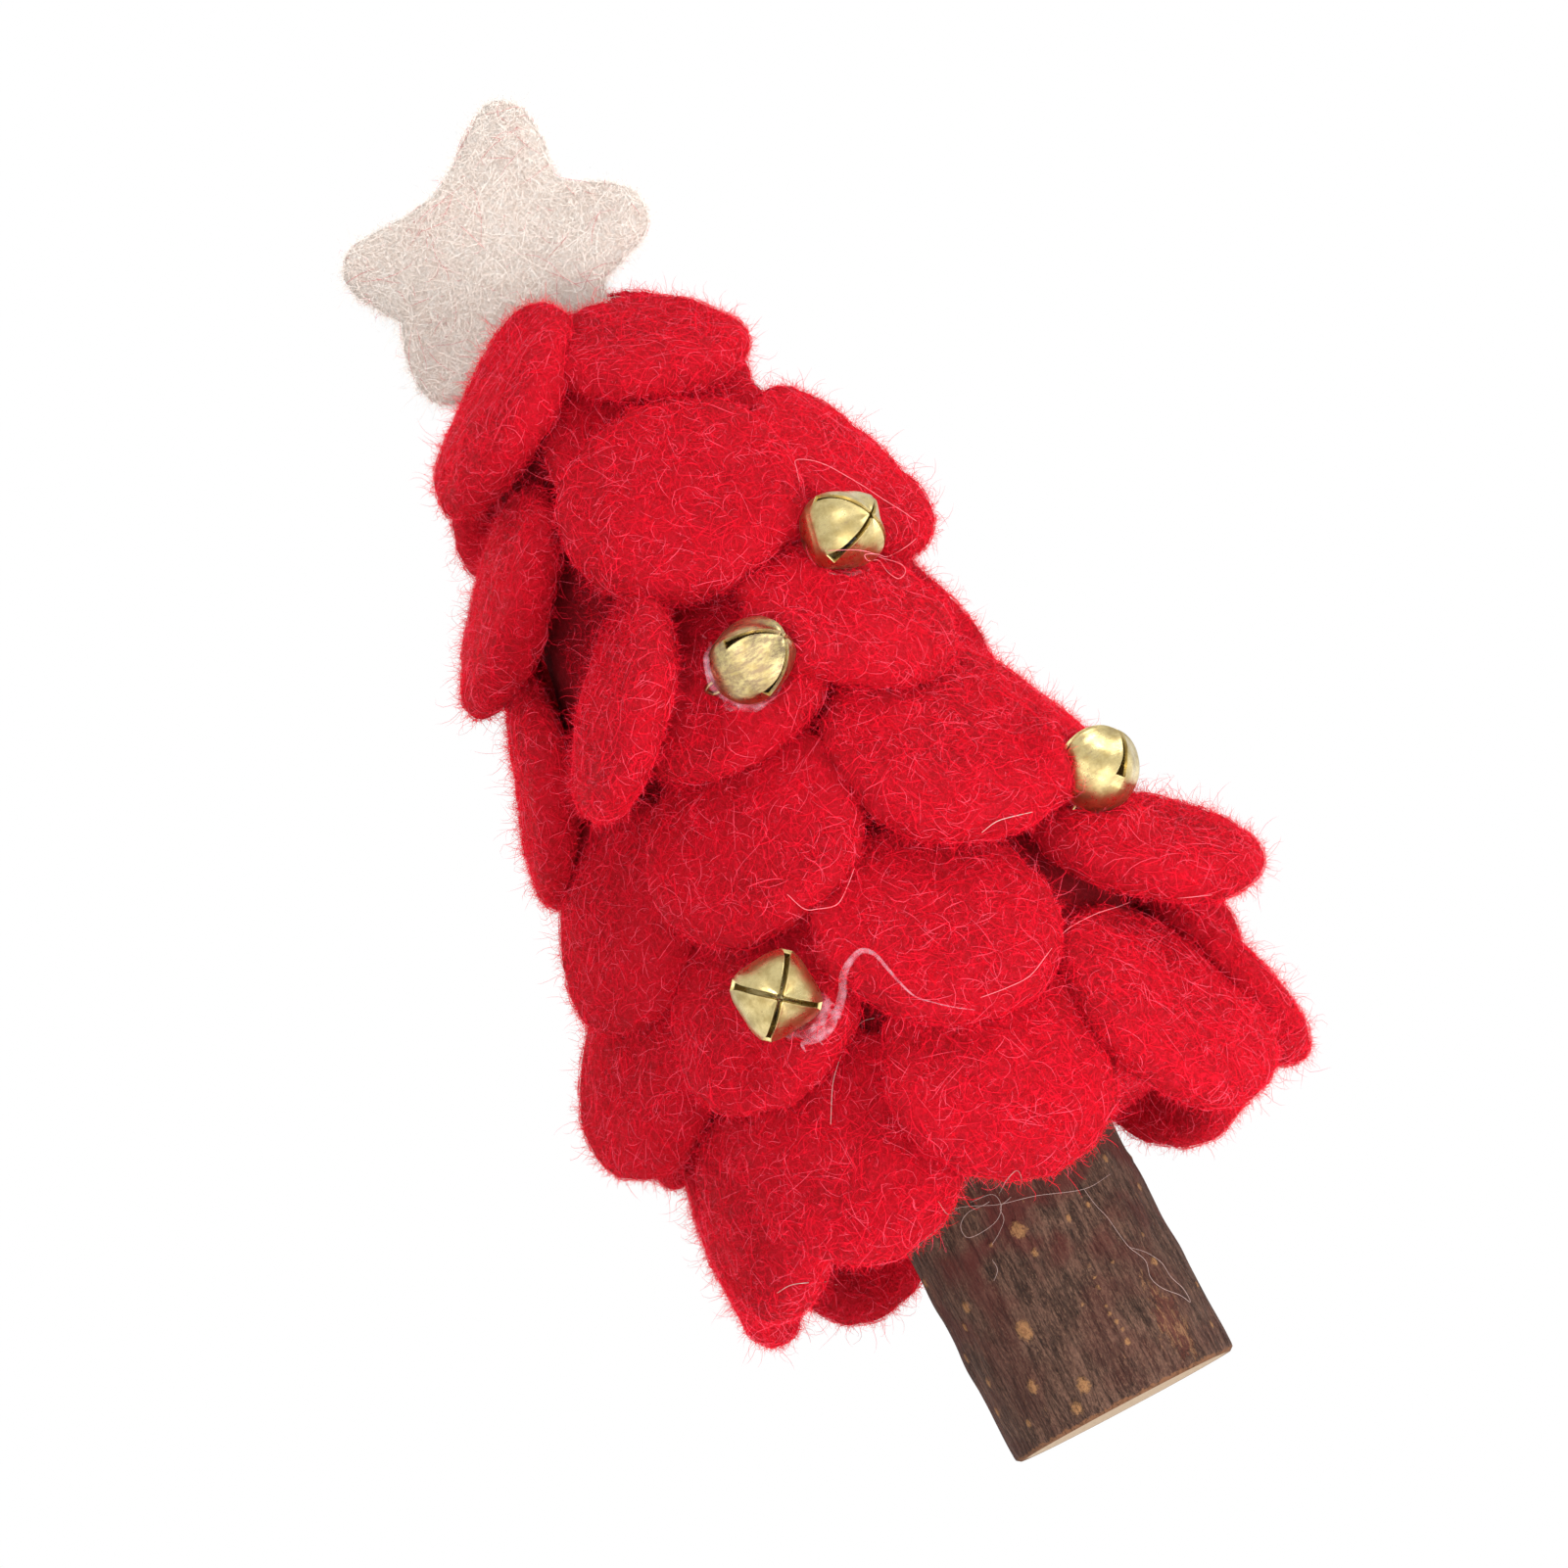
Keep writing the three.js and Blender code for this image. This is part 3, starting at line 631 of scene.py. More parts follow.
finishes = {
    "star": (creamFelt, "cream_felt", starFuzz, creamFibres),
    "core_cone": (coreShadedFelt, "core_felt", coreFuzz, redFibres),
}
for name, mesh in feltMeshes.items():
    material, slot, looks, fibres = finishes.get(name, (redFelt, "red_felt", fuzz, redFibres))
    mesh.materials.append(material)
    piece = dressed(mesh, "tree", name)
    extras = fuzzPieces(name, mesh, feltTree, looks, fibres)
    if name == "core_cone":
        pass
    elif name == "star":
        low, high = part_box("star")
print("fuzz is on the felt")


# Log: bark with fine upright ridges, tan spots in the places seen, and sawn ends
log = {
    "around": 300,
    "up": 130,
    "barkFrom": 0.95,  # CAD points beyond this share of its reach lie on the bark
    "evenSteps": 6,
    "ridge": 0.16 * mm,
    "ridgeSize": (0.7, 6),  # round and along, in millimetres
    "lump": 0.22 * mm,
    "lumpSize": 5 * mm,
    "rim": 0.5 * mm,
    "plainRim": 1 * mm,
    "sawnRim": 0.7 * mm,
    "capRings": (0.9, 0.6, 0.3),
    "spotRise": 0.18 * mm,
    "spotReach": 1.5,
    "spotLong": 0.8,
    # Spots: degrees from the front, height and size in millimetres
    "spots": [
        (51, 25.3, 0.55), (17, 20.9, 0.4), (-6, 22.3, 1.0), (-4, 19.2, 0.45), (-26, 12.2, 1.1),
        (-36, 6.4, 0.8), (-13, 3.8, 0.9), (-21, 1.9, 0.8), (-49, 3.1, 0.5), (-50, 17.8, 0.7),
        (-59, 16, 0.45), (-74, 13.1, 0.6), (-63, 9.3, 0.55), (-71, 6, 0.65), (-76, 22.9, 0.6),
        (15, 15.1, 0.25), (15, 13.7, 0.25), (14, 12.5, 0.3), (4, 11.7, 0.25), (13, 10.3, 0.28),
        (13, 9.4, 0.3), (14, 8.3, 0.33), (15, 7.2, 0.25), (14, 5.8, 0.4), (26, 14.3, 0.28),
        (49, 15.7, 0.3), (66, 3.4, 0.45), (47, 12.4, 0.5), (73, 8.2, 0.35), (-21, 22.3, 0.3),
        (29, 21.3, 0.35), (69, 21, 0.55), (112, 9, 0.7), (131, 18, 0.9), (150, 5, 0.6),
        (168, 14, 0.8), (-171, 24, 0.5), (-152, 8, 0.9), (-133, 19, 0.6), (-112, 4, 0.7),
        (-98, 14, 0.5), (96, 25, 0.5), (140, 27, 0.4), (-120, 27, 0.6), (178, 3, 0.5),
    ],
    "scar": {"place": (39, 5.6), "width": 2, "rise": 5.4},
}


def barkMaterial():
    r = Recipe("bark")
    place = r.place()
    up = r.add("ShaderNodeSeparateXYZ", None, [place], output=2)
    ridges = r.clouds(r.stretched(place, (1, 1, 0.16)), 0.6 * mm, 4, 0.62, 0.35)
    grain = r.clouds(r.stretched(place, (1, 1, 0.4)), 0.2 * mm, 4, 0.75)
    cracks = r.clouds(r.stretched(place, (1, 1, 0.1)), 1.5 * mm, 4, 0.6, 0.3)
    crack = r.ramp(cracks, 0.47, 0.5) * r.ramp(cracks, 0.53, 0.5)
    patches = r.clouds(place, 6 * mm, 3)
    red = r.ramp(patches, 0.44, 0.64) * r.ramp(up, 8 * mm, 27 * mm, 0.25, 0.85)
    flecks = r.clouds(r.stretched(place, (1, 1, 0.4)), 0.9 * mm, 4, 0.75)
    blurred = r.clouds(place, 0.45 * mm, 4, 0.75) - 0.5
    spot = r.ramp(r.painted("spot") + blurred * 1.3, 0.3, 0.7)
    heart = r.ramp(r.painted("spot") + blurred * 2.2, 0.7, 1.0)
    torn = r.painted("scar") + (r.clouds(r.stretched(place, (1, 1, 0.5)), 1.1 * mm, 4, 0.75) - 0.5) * 2.2
    flaked = r.clouds(r.stretched(place, (1, 1, 0.3)), 0.8 * mm, 4, 0.8, 1.5)
    frayed = r.painted("sawn") + (r.clouds(place, 0.7 * mm, 4) - 0.5) * 1.5
    colour = r.layered(
        r.mix(r.ramp(ridges, 0.34, 0.66), srgb(58, 39, 31), srgb(97, 69, 56)),
        (r.ramp(grain, 0.52, 0.62) * 0.55, (122, 91, 73)),
        (r.ramp(grain, 0.47, 0.38) * 0.6, (34, 21, 17)),
        (crack * 0.4, (30, 18, 15)),
        (red, (78, 30, 26)),
        (r.ramp(flecks, 0.66, 0.76) * 0.55, (142, 104, 70)),
        (spot * 0.85, (158, 114, 74)),
        (heart * 0.7, (104, 68, 44)),
        (r.ramp(torn, 0.45, 0.65) * 0.8, (88, 46, 36)),
        (r.ramp(torn, 0.35, 0.55) * r.ramp(flaked, 0.5, 0.56) * 0.85, (136, 97, 68)),
        (r.ramp(frayed, 0.3, 0.65) * 0.9, (120, 80, 54)),
    )
    height = ridges * 0.9 + grain * 0.6 + spot * 0.25 - crack * 0.5 - r.ramp(torn, 0.5, 0.65) * 0.5
    return r.surface({
        "Base Color": colour,
        "Roughness": r.ramp(ridges, 0.3, 0.7, 0.95, 0.78),
        "Specular IOR Level": 0.25,
        "Normal": r.bump(height, 0.4 * mm),
    })


# Sawn wood: growth rings round the heart, fine pores and saw marks, darker under the bark
def sawnMaterial():
    r = Recipe("sawn_wood")
    place = r.place()
    wobble = r.clouds(place, 8 * mm, 2)
    flat = r.stretched(place, (1, 1, 0))
    radius = r.add("ShaderNodeVectorMath", {"operation": "LENGTH"}, [flat], output="Value")
    rings = r.add("ShaderNodeMath", {"operation": "SINE"}, [(radius + wobble * (1.5 * mm)) * 5200])
    pores = r.clouds(place, 0.25 * mm, 3, 0.7)
    marks = r.clouds(r.stretched(place, (1, 0.05, 1)), 0.3 * mm, 2)
    colour = r.layered(
        srgb(170, 150, 128),
        (r.ramp(rings, -0.4, 1) * 0.4, (146, 122, 94)),
        (r.ramp(pores, 0.55, 0.75) * 0.35, (132, 100, 70)),
        (r.ramp(radius, 12.4 * mm, 13.6 * mm), (104, 72, 48)),
    )
    return r.surface({
        "Base Color": colour,
        "Roughness": r.ramp(pores, 0.3, 0.7, 0.85, 0.7),
        "Specular IOR Level": 0.25,
        "Normal": r.bump(pores * 0.5 + marks * 0.5, 0.12 * mm),
    })


# How far a point of the bark is from a place on it, round and up, in millimetres
def barkApart(angle, height, radius, place):
    aside = (math.degrees(angle) - place[0] + 180) % 360 - 180
    return math.radians(aside) * radius / mm, height / mm - place[1]


def logOutline(turn):
    points = corners(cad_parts["trunk_log"].data)
    reach = np.hypot(points[:, 0], points[:, 1])
    rim = points[reach > reach.max() * log["barkFrom"]]
    angles = np.arctan2(rim[:, 0], -rim[:, 1])
    order = np.argsort(angles)
    radii = np.hypot(rim[:, 0], rim[:, 1])
    outline = np.interp(turn, angles[order], radii[order], period=2 * math.pi)
    steps = log["evenSteps"]
    return np.mean([np.roll(outline, k) for k in range(-steps, steps + 1)], axis=0)


def logMesh():
    low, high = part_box("trunk_log")
    around, up, scar = log["around"], log["up"], log["scar"]
    wide, long = log["ridgeSize"]
    turn = np.linspace(-math.pi, math.pi, around, endpoint=False)
    outline = logOutline(turn)
    verts, faces = [], []
    painted = {"spot": [], "sawn": [], "scar": []}
    for z in np.linspace(low.z, high.z, up):
        edge = min(z - low.z, high.z - z)
        draw = log["rim"] * max(0, 1 - edge / log["rim"]) ** 2
        for angle, radius in zip(turn, outline):
            x, y = math.sin(angle), -math.cos(angle)
            away = radius - draw
            at = Vector((x * away, y * away, z))
            ridge = noise.noise(Vector((at.x / wide, at.y / wide, at.z / long)) / mm) * log["ridge"]
            lump = noise.noise(at / log["lumpSize"]) * log["lump"]
            share = 0
            for *spot, size in log["spots"]:
                aside, rise = barkApart(angle, z, radius, spot)
                apart = math.hypot(aside, rise * log["spotLong"])
                share = max(share, 1 - apart / (size * log["spotReach"]))
            away += (ridge + lump) * min(1, edge / log["plainRim"]) + log["spotRise"] * share
            verts.append((away * x, away * y, z))
            painted["spot"].append(share)
            painted["sawn"].append(max(0, 1 - edge / log["sawnRim"]))
            aside, rise = barkApart(angle, z, radius, scar["place"])
            painted["scar"].append(math.exp(-(aside / scar["width"]) ** 2 - (rise / scar["rise"]) ** 2))
    for a in range(0, (up - 1) * around, around):
        b = a + around
        faces += [(a + k, a + after, b + after, b + k) for k, after in pairsRound(around)]
    sides = len(faces)
    for start, height, flip in ((0, low.z, True), ((up - 1) * around, high.z, False)):
        caps = []
        ring = start
        for shrink in log["capRings"]:
            inner = len(verts)
            verts += [(x * shrink, y * shrink, height) for x, y, _ in verts[start:start + around]]
            caps += [(ring + k, ring + after, inner + after, inner + k) for k, after in pairsRound(around)]
            ring = inner
        caps += [(ring + k, ring + after, len(verts)) for k, after in pairsRound(around)]
        verts.append((0, 0, height))
        faces += [face[::-1] if flip else face for face in caps]
    mesh = newMesh("bark_log", verts, faces, barkMaterial(), sawnMaterial())
    for name, values in painted.items():
        values += [0] * (len(verts) - len(values))
        layer = mesh.attributes.new(name, "FLOAT", "POINT")
        layer.data.foreach_set("value", np.array(values, np.float32))
    mesh.polygons.foreach_set("material_index", [0 if i < sides else 1 for i in range(len(faces))])
    mesh.update()
    return mesh


barkLog = dressed(logMesh(), "tree", "trunk_log")
print("log is made")


# Bells: pressed brass balls with two crossing slots that open out towards their ends
bell = {
    "radius": bellRadius,
    "wall": 0.4 * mm,
    "edge": 0.07 * mm,
    "edgeAngle": 50,
    "ballRadius": 1.5 * mm,
    "top": 5.6,  # the petals begin at this angle from the slots' crossing
    "slotHalf": 0.3 * mm,
    "slotEndHalf": 0.66 * mm,
    "slotWidensFrom": 55,
    "slotEnds": 87,
    "slotCurve": 1.6,
    "slotMost": 44.9,
    "squareness": 0.14,
    "squareFrom": 1.15,
    "seam": 0.012,
    "seamAt": 97,
    "seamWidth": 2.2,
    "lip": 0.1 * mm,
    "lipWidth": 0.24 * mm,
    "across": 22,
    "down": 34,
    "below": 26,
    "loopWidth": 2.6 * mm,
    "loopHeight": 1.7 * mm,
    "loopWire": 0.5 * mm,
    "facing": {
        "bell1": ((0.08, -0.956, -0.28), 55),
        "bell2": ((0.898, -0.44, 0.031), 44),
        "bell3": ((0.72, -0.659, -0.216), -3),
        "bell4": ((0.756, -0.203, 0.623), 31),
    },
    # How far each bell's brass has tarnished
    "worn": {"bell1": 0, "bell2": 0.26, "bell3": 0.08, "bell4": 0.12},
}


def brassMaterial(name, worn):
    r = Recipe(name)
    place = r.place()
    # Mottled stains, partly real tarnish and partly painted reflection: the darker mottle stands in for
    # the dim surroundings mirrored in the brass
    stainAndDimReflection = r.clouds(place, 1.6 * mm, 4, 0.65)
    specks = r.clouds(place, 0.35 * mm, 3, 0.7)
    brushed = r.clouds(r.stretched(place, (1, 1, 12)), 2.5 * mm, 3, 0.7)
    tarnish = r.clouds(r.stretched(place, (0.3, 1, 1)), 0.5 * mm, 4, 0.75)
    colour = r.layered(
        srgb(206, 188, 134),
        (r.ramp(stainAndDimReflection, 0.35, 0.7), (168, 148, 96)),
        (r.ramp(tarnish, 0.62 - worn, 0.9 - worn) * 0.8, (134, 112, 92)),
        (r.ramp(specks, 0.64, 0.74) * 0.55, (112, 84, 50)),
    )
    rough = r.ramp(stainAndDimReflection, 0.3, 0.75, 0.24, 0.4) + r.ramp(specks, 0.6, 0.75, 0, 0.15)
    return r.surface({
        "Base Color": colour,
        "Metallic": 1,
        "Roughness": rough,
        "Normal": r.bump(brushed * 0.4 + stainAndDimReflection * 0.6, 0.05 * mm),
    })


def steelMaterial():
    r = Recipe("steel")
    place = r.place()
    wear = r.clouds(place, 0.9 * mm, 4, 0.7)
    colour = r.mix(r.ramp(wear, 0.4, 0.7), srgb(150, 150, 152), srgb(96, 92, 88))
    return r.surface({
        "Base Color": colour,
        "Metallic": 1,
        "Roughness": r.ramp(wear, 0.3, 0.7, 0.25, 0.45),
        "Normal": r.bump(wear, 0.03 * mm),
    })


def glueMaterial():
    r = Recipe("hot_glue")
    place = r.place()
    haze = r.clouds(place, 1.2 * mm, 3, 0.6)
    bubbles = r.clouds(place, 0.3 * mm, 2)
    colour = r.mix(r.ramp(haze, 0.3, 0.7), srgb(226, 150, 172), srgb(240, 200, 214))
    return r.surface({
        "Base Color": colour,
        "Roughness": r.ramp(bubbles, 0.4, 0.7, 0.18, 0.34),
        "Alpha": r.ramp(haze, 0.3, 0.75, 0.06, 0.24),
        "IOR": 1.48,
        "Specular IOR Level": 0.3,
        "Normal": r.bump(haze + bubbles * 0.4, 0.12 * mm),
    })


brass = {name: brassMaterial(f"{name}_metal", worn) for name, worn in bell["worn"].items()}
steel, hotGlue = steelMaterial(), glueMaterial()


def slotHalf(polar):
    start, end = bell["slotWidensFrom"], bell["slotEnds"]
    share = min(max((polar - start) / (end - start), 0), 1)
    return bell["slotHalf"] + (bell["slotEndHalf"] - bell["slotHalf"]) * share ** bell["slotCurve"]


# A point of the shell; its pressed lip rises beside a slot, whose edge is at the given azimuth away
def bellPoint(polar, azimuth, fromEdge=1):
    upper = max(0, math.sin(math.radians(min(polar * bell["squareFrom"], 180))))
    square = bell["squareness"] * upper * (1 - math.cos(4 * azimuth)) / 2
    seam = bell["seam"] * math.exp(-((polar - bell["seamAt"]) / bell["seamWidth"]) ** 2)
    reach = bell["radius"] * (1 - square - seam)
    across, up = math.sin(math.radians(polar)), math.cos(math.radians(polar))
    reach += bell["lip"] * math.exp(-(fromEdge * bell["radius"] * across / bell["lipWidth"]) ** 2)
    return Vector((reach * across * math.cos(azimuth), reach * across * math.sin(azimuth), reach * up))


# The upper half is four petals between the slots; below the slots' ends the ball is whole
def bellMesh():
    across, down, end = bell["across"], bell["down"], bell["slotEnds"]
    shares = [(1 - math.cos(math.pi * k / across)) / 2 for k in range(across + 1)]
    verts, faces = [], []

    def addRing(polar, edge, lipped):
        wide = math.pi / 2 - 2 * edge
        ring = range(len(verts), len(verts) + 4 * len(shares))
        for petal in range(4):
            for share in shares:
                fromEdge = wide * min(share, 1 - share) if lipped else 1
                verts.append(bellPoint(polar, petal * math.pi / 2 + edge + wide * share, fromEdge))
        return ring

    ring = None
    for i in range(down + 1):
        polar = bell["top"] + (end - bell["top"]) * (i / down)
        away = bell["radius"] * math.sin(math.radians(polar))
        edge = math.asin(min(slotHalf(polar) / away, math.sin(math.radians(bell["slotMost"]))))
        upper, ring = ring, addRing(polar, edge, True)
        if i:
            faces += [(upper[c], ring[c], ring[c + 1], upper[c + 1]) for c in range(len(ring) - 1)
                      if (c + 1) % (across + 1)]
    edge = math.asin(slotHalf(end) / bell["radius"])
    for i in range(1, bell["below"]):
        upper, ring = ring, addRing(end + (180 - end) * i / bell["below"], edge, False)
        faces += [(upper[c], ring[c], ring[after], upper[after]) for c, after in pairsRound(len(ring))]
    faces += [(ring[c], len(verts), ring[after]) for c, after in pairsRound(len(ring))]
    verts.append(bellPoint(180, 0))
    shape = newObject("bell_rough", newMesh("bell", verts, faces))
    wall = shape.modifiers.new("wall", "SOLIDIFY")
    wall.thickness = bell["wall"]
    wall.offset = -1
    soften = shape.modifiers.new("edges", "BEVEL")
    soften.width = bell["edge"]
    soften.segments = 2
    soften.limit_method = "ANGLE"
    soften.angle_limit = math.radians(bell["edgeAngle"])
    result = applied(shape)
    result.shade_smooth()
    return result


def tubeMesh(name, path, radii, sides, material):
    verts, faces = [], []
    across = Vector((0.31, 0.77, -0.55))  # any way that no path follows
    for i, at in enumerate(path):
        before, after = path[max(i - 1, 0)], path[min(i + 1, len(path) - 1)]
        along = (after - before).normalized()
        across = (across - along * across.dot(along)).normalized()
        beside = along.cross(across)
        for k in range(sides):
            angle = 2 * math.pi * k / sides
            verts.append(at + (across * math.cos(angle) + beside * math.sin(angle)) * radii[i])
    last = (len(path) - 1) * sides
    for a in range(0, last, sides):
        b = a + sides
        faces += [(a + k, a + after, b + after, b + k) for k, after in pairsRound(sides)]
    faces += [tuple(range(sides))[::-1], tuple(range(last, last + sides))]
    return newMesh(name, verts, faces, material)


def smoothPath(points, steps):
    points = [Vector(p) for p in points]
    ends = [points[0] * 2 - points[1], *points, points[-1] * 2 - points[-2]]
    path = []
    for a, b, c, d in zip(ends, ends[1:], ends[2:], ends[3:]):
        for k in range(steps):
            t = k / steps
            path.append(0.5 * (2 * b + (c - a) * t + (2 * a - 5 * b + 4 * c - d) * t * t
                               + (3 * b - a - 3 * c + d) * t ** 3))
    return [*path, points[-1]]


def loopPath():
    half = (bell["loopWidth"] - bell["loopWire"]) / 2
    start = -math.sqrt(bell["radius"] ** 2 - half ** 2) + 0.1 * mm
    end = -bell["radius"] - bell["loopHeight"] + bell["loopWire"] / 2
    left = [(-half, 0, start), (-half * 1.02, 0, (start + end) / 2), (-half * 0.6, 0, end * 0.985)]
    right = [(-x, y, z) for x, y, z in reversed(left)]
    return smoothPath([*left, (0, 0, end), *right], 6)


# The way out of the felt under a bell, from the flat foot of its CAD dab
def outOfFelt(name):
    middle = np.array(bellMiddles[name])
    points = corners(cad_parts[f"{name}_glue"].data)
    foot = points[np.argsort(-np.linalg.norm(points - middle, axis=1))[:12]]
    return Vector(middle - foot.mean(0)).normalized()


# A dab of glue fills the room between a bell and the felt and spreads over the felt as a thin film,
# farthest in the directions in which it was squeezed out
glue = {
    "rings": 22,
    "around": 72,
    "reach": 2.9 * mm,
    "wobble": 0.2,
    "wobbleTurn": 2.3,
    "wobbleSize": 3 * mm,
    "probe": 12 * mm,  # as far as the felt is looked for
    "fall": 3,  # a drop of more than this many rings' widths ends the film
    "clear": 0.02 * mm,
    "film": 0.28 * mm,
    "filmChange": 0.7,
    "filmSize": 0.9 * mm,
    "cling": 0.45 * mm,
    "least": 0.05 * mm,
    "sink": 0.12 * mm,
    "weld": 0.004 * mm,
    "rise": {"bell1": 1.1 * mm, "bell2": 1.1 * mm, "bell3": 0.7 * mm, "bell4": 0.3 * mm},
    # Where it is squeezed out: direction in degrees from the tree's right, reach, width
    "smears": {
        "bell1": [(-30, 2.2, 24), (-75, 1.8, 28)],
        "bell2": [(155, 2.4, 24), (200, 2, 26), (245, 1, 30)],
        "bell3": [(-50, 0.6, 25)],
        "bell4": [(-100, -2.3, 90)],
    },
}


def glueMesh(name, middle, out):
    rings, around, most = glue["rings"], glue["around"], glue["rise"][name]
    acrossView = (treeSide - out * treeSide.dot(out)).normalized()
    upView = out.cross(acrossView)
    tops, bottoms = {}, {}
    for k in range(around):
        angle = 2 * math.pi * k / around
        reach = glue["reach"]
        for direction, extra, width in glue["smears"][name]:
            apart = (math.degrees(angle) - direction + 180) % 360 - 180
            reach += extra * mm * math.exp(-(apart / width) ** 2)
        way = acrossView * math.cos(angle) + upView * math.sin(angle)
        wobble = noise.noise(way * glue["wobbleTurn"] + middle / glue["wobbleSize"])
        reach *= 1 + glue["wobble"] * wobble
        floor = middle - out * (bell["radius"] + most)
        for ring in range(rings + 1):
            share = ring / rings
            hit = feltTree.ray_cast(middle + way * reach * share, -out, glue["probe"])[0]
            falls = hit is None or (ring > 0 and (hit - floor).length > glue["fall"] * reach / rings)
            floor = floor if falls else hit
            height = (middle - floor).dot(out)
            aside = ((floor - middle) + out * height).length
            room = height - math.sqrt(max(bell["radius"] ** 2 - aside ** 2, 0)) - glue["clear"]
            uneven = 1 + glue["filmChange"] * noise.noise(floor / glue["filmSize"])
            film = glue["film"] * (1 - share ** 3) * uneven
            cling = math.exp(-(max(room - most, 0) / glue["cling"]) ** 2)
            depth = film + (min(room, most) - film) * cling
            depth = min(depth, max(room, glue["least"])) * (1 - share ** 8)
            tops[ring, k] = floor + out * depth
            bottoms[ring, k] = floor - out * glue["sink"]
    order = [(ring, k) for ring in range(rings + 1) for k in range(around)]
    verts = [side[place] for side in (tops, bottoms) for place in order]
    lower, rim, faces = len(tops), rings * around, []
    for a in range(0, rim, around):
        b = a + around
        for k, after in pairsRound(around):
            upper = (a + k, b + k, b + after, a + after)
            faces += [upper, tuple(lower + corner for corner in upper[::-1])]
    b = rim + lower
    faces += [(rim + k, b + k, b + after, rim + after) for k, after in pairsRound(around)]
    mesh = newMesh(f"{name}_dab", verts, faces, hotGlue)
    shape = bmesh.new()
    shape.from_mesh(mesh)
    bmesh.ops.remove_doubles(shape, verts=shape.verts, dist=glue["weld"])
    bmesh.ops.recalc_face_normals(shape, faces=shape.faces)
    shape.to_mesh(mesh)
    shape.free()
    return mesh


shellMesh = bellMesh()
for name in bellNames:
    middle = bellMiddles[name]
    facing, spin = bell["facing"][name]
    turn = Vector((0, 0, 1)).rotation_difference(Vector(facing).normalized())
    turn = turn @ Quaternion((0, 0, 1), math.radians(spin))
    stand = Matrix.Translation(middle) @ turn.to_matrix().to_4x4()
    mesh = shellMesh.copy()
    mesh.name = f"{name}_brass"
    mesh.transform(stand)
    mesh.materials.append(brass[name])
    dressed(mesh, "tree", f"{name}_shell")
    path = [stand @ p for p in loopPath()]
    wire = tubeMesh(f"{name}_wire", path, [bell["loopWire"] / 2] * len(path), 12, brass[name])
    dressed(wire, "tree", f"{name}_loop")
    low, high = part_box(f"{name}_ball")
    shape = bmesh.new()
    bmesh.ops.create_icosphere(shape, subdivisions=4, radius=bell["ballRadius"])
    bmesh.ops.translate(shape, verts=shape.verts, vec=(low + high) / 2)
    mesh = bpy.data.meshes.new(f"{name}_clapper")
    shape.to_mesh(mesh)
    shape.free()
    mesh.shade_smooth()
    mesh.materials.append(steel)
    dressed(mesh, f"{name}_ball", f"{name}_ball")
    dressed(glueMesh(name, middle, outOfFelt(name)), "tree", f"{name}_glue")
print("bells and their glue are made")


# Strings of glue and loose fibres, laid on the felt where they are seen: places are in
# millimetres across and up from the middle of the view
def onTree(across, up, lift):
    toward = (ahead * view["distance"] + treeSide * across * mm + treeUp * up * mm).normalized()
    hit, normal, _, _ = sceneTree.ray_cast(eye, toward)
    if hit is None:
        return None
    return hit + normal * lift * mm


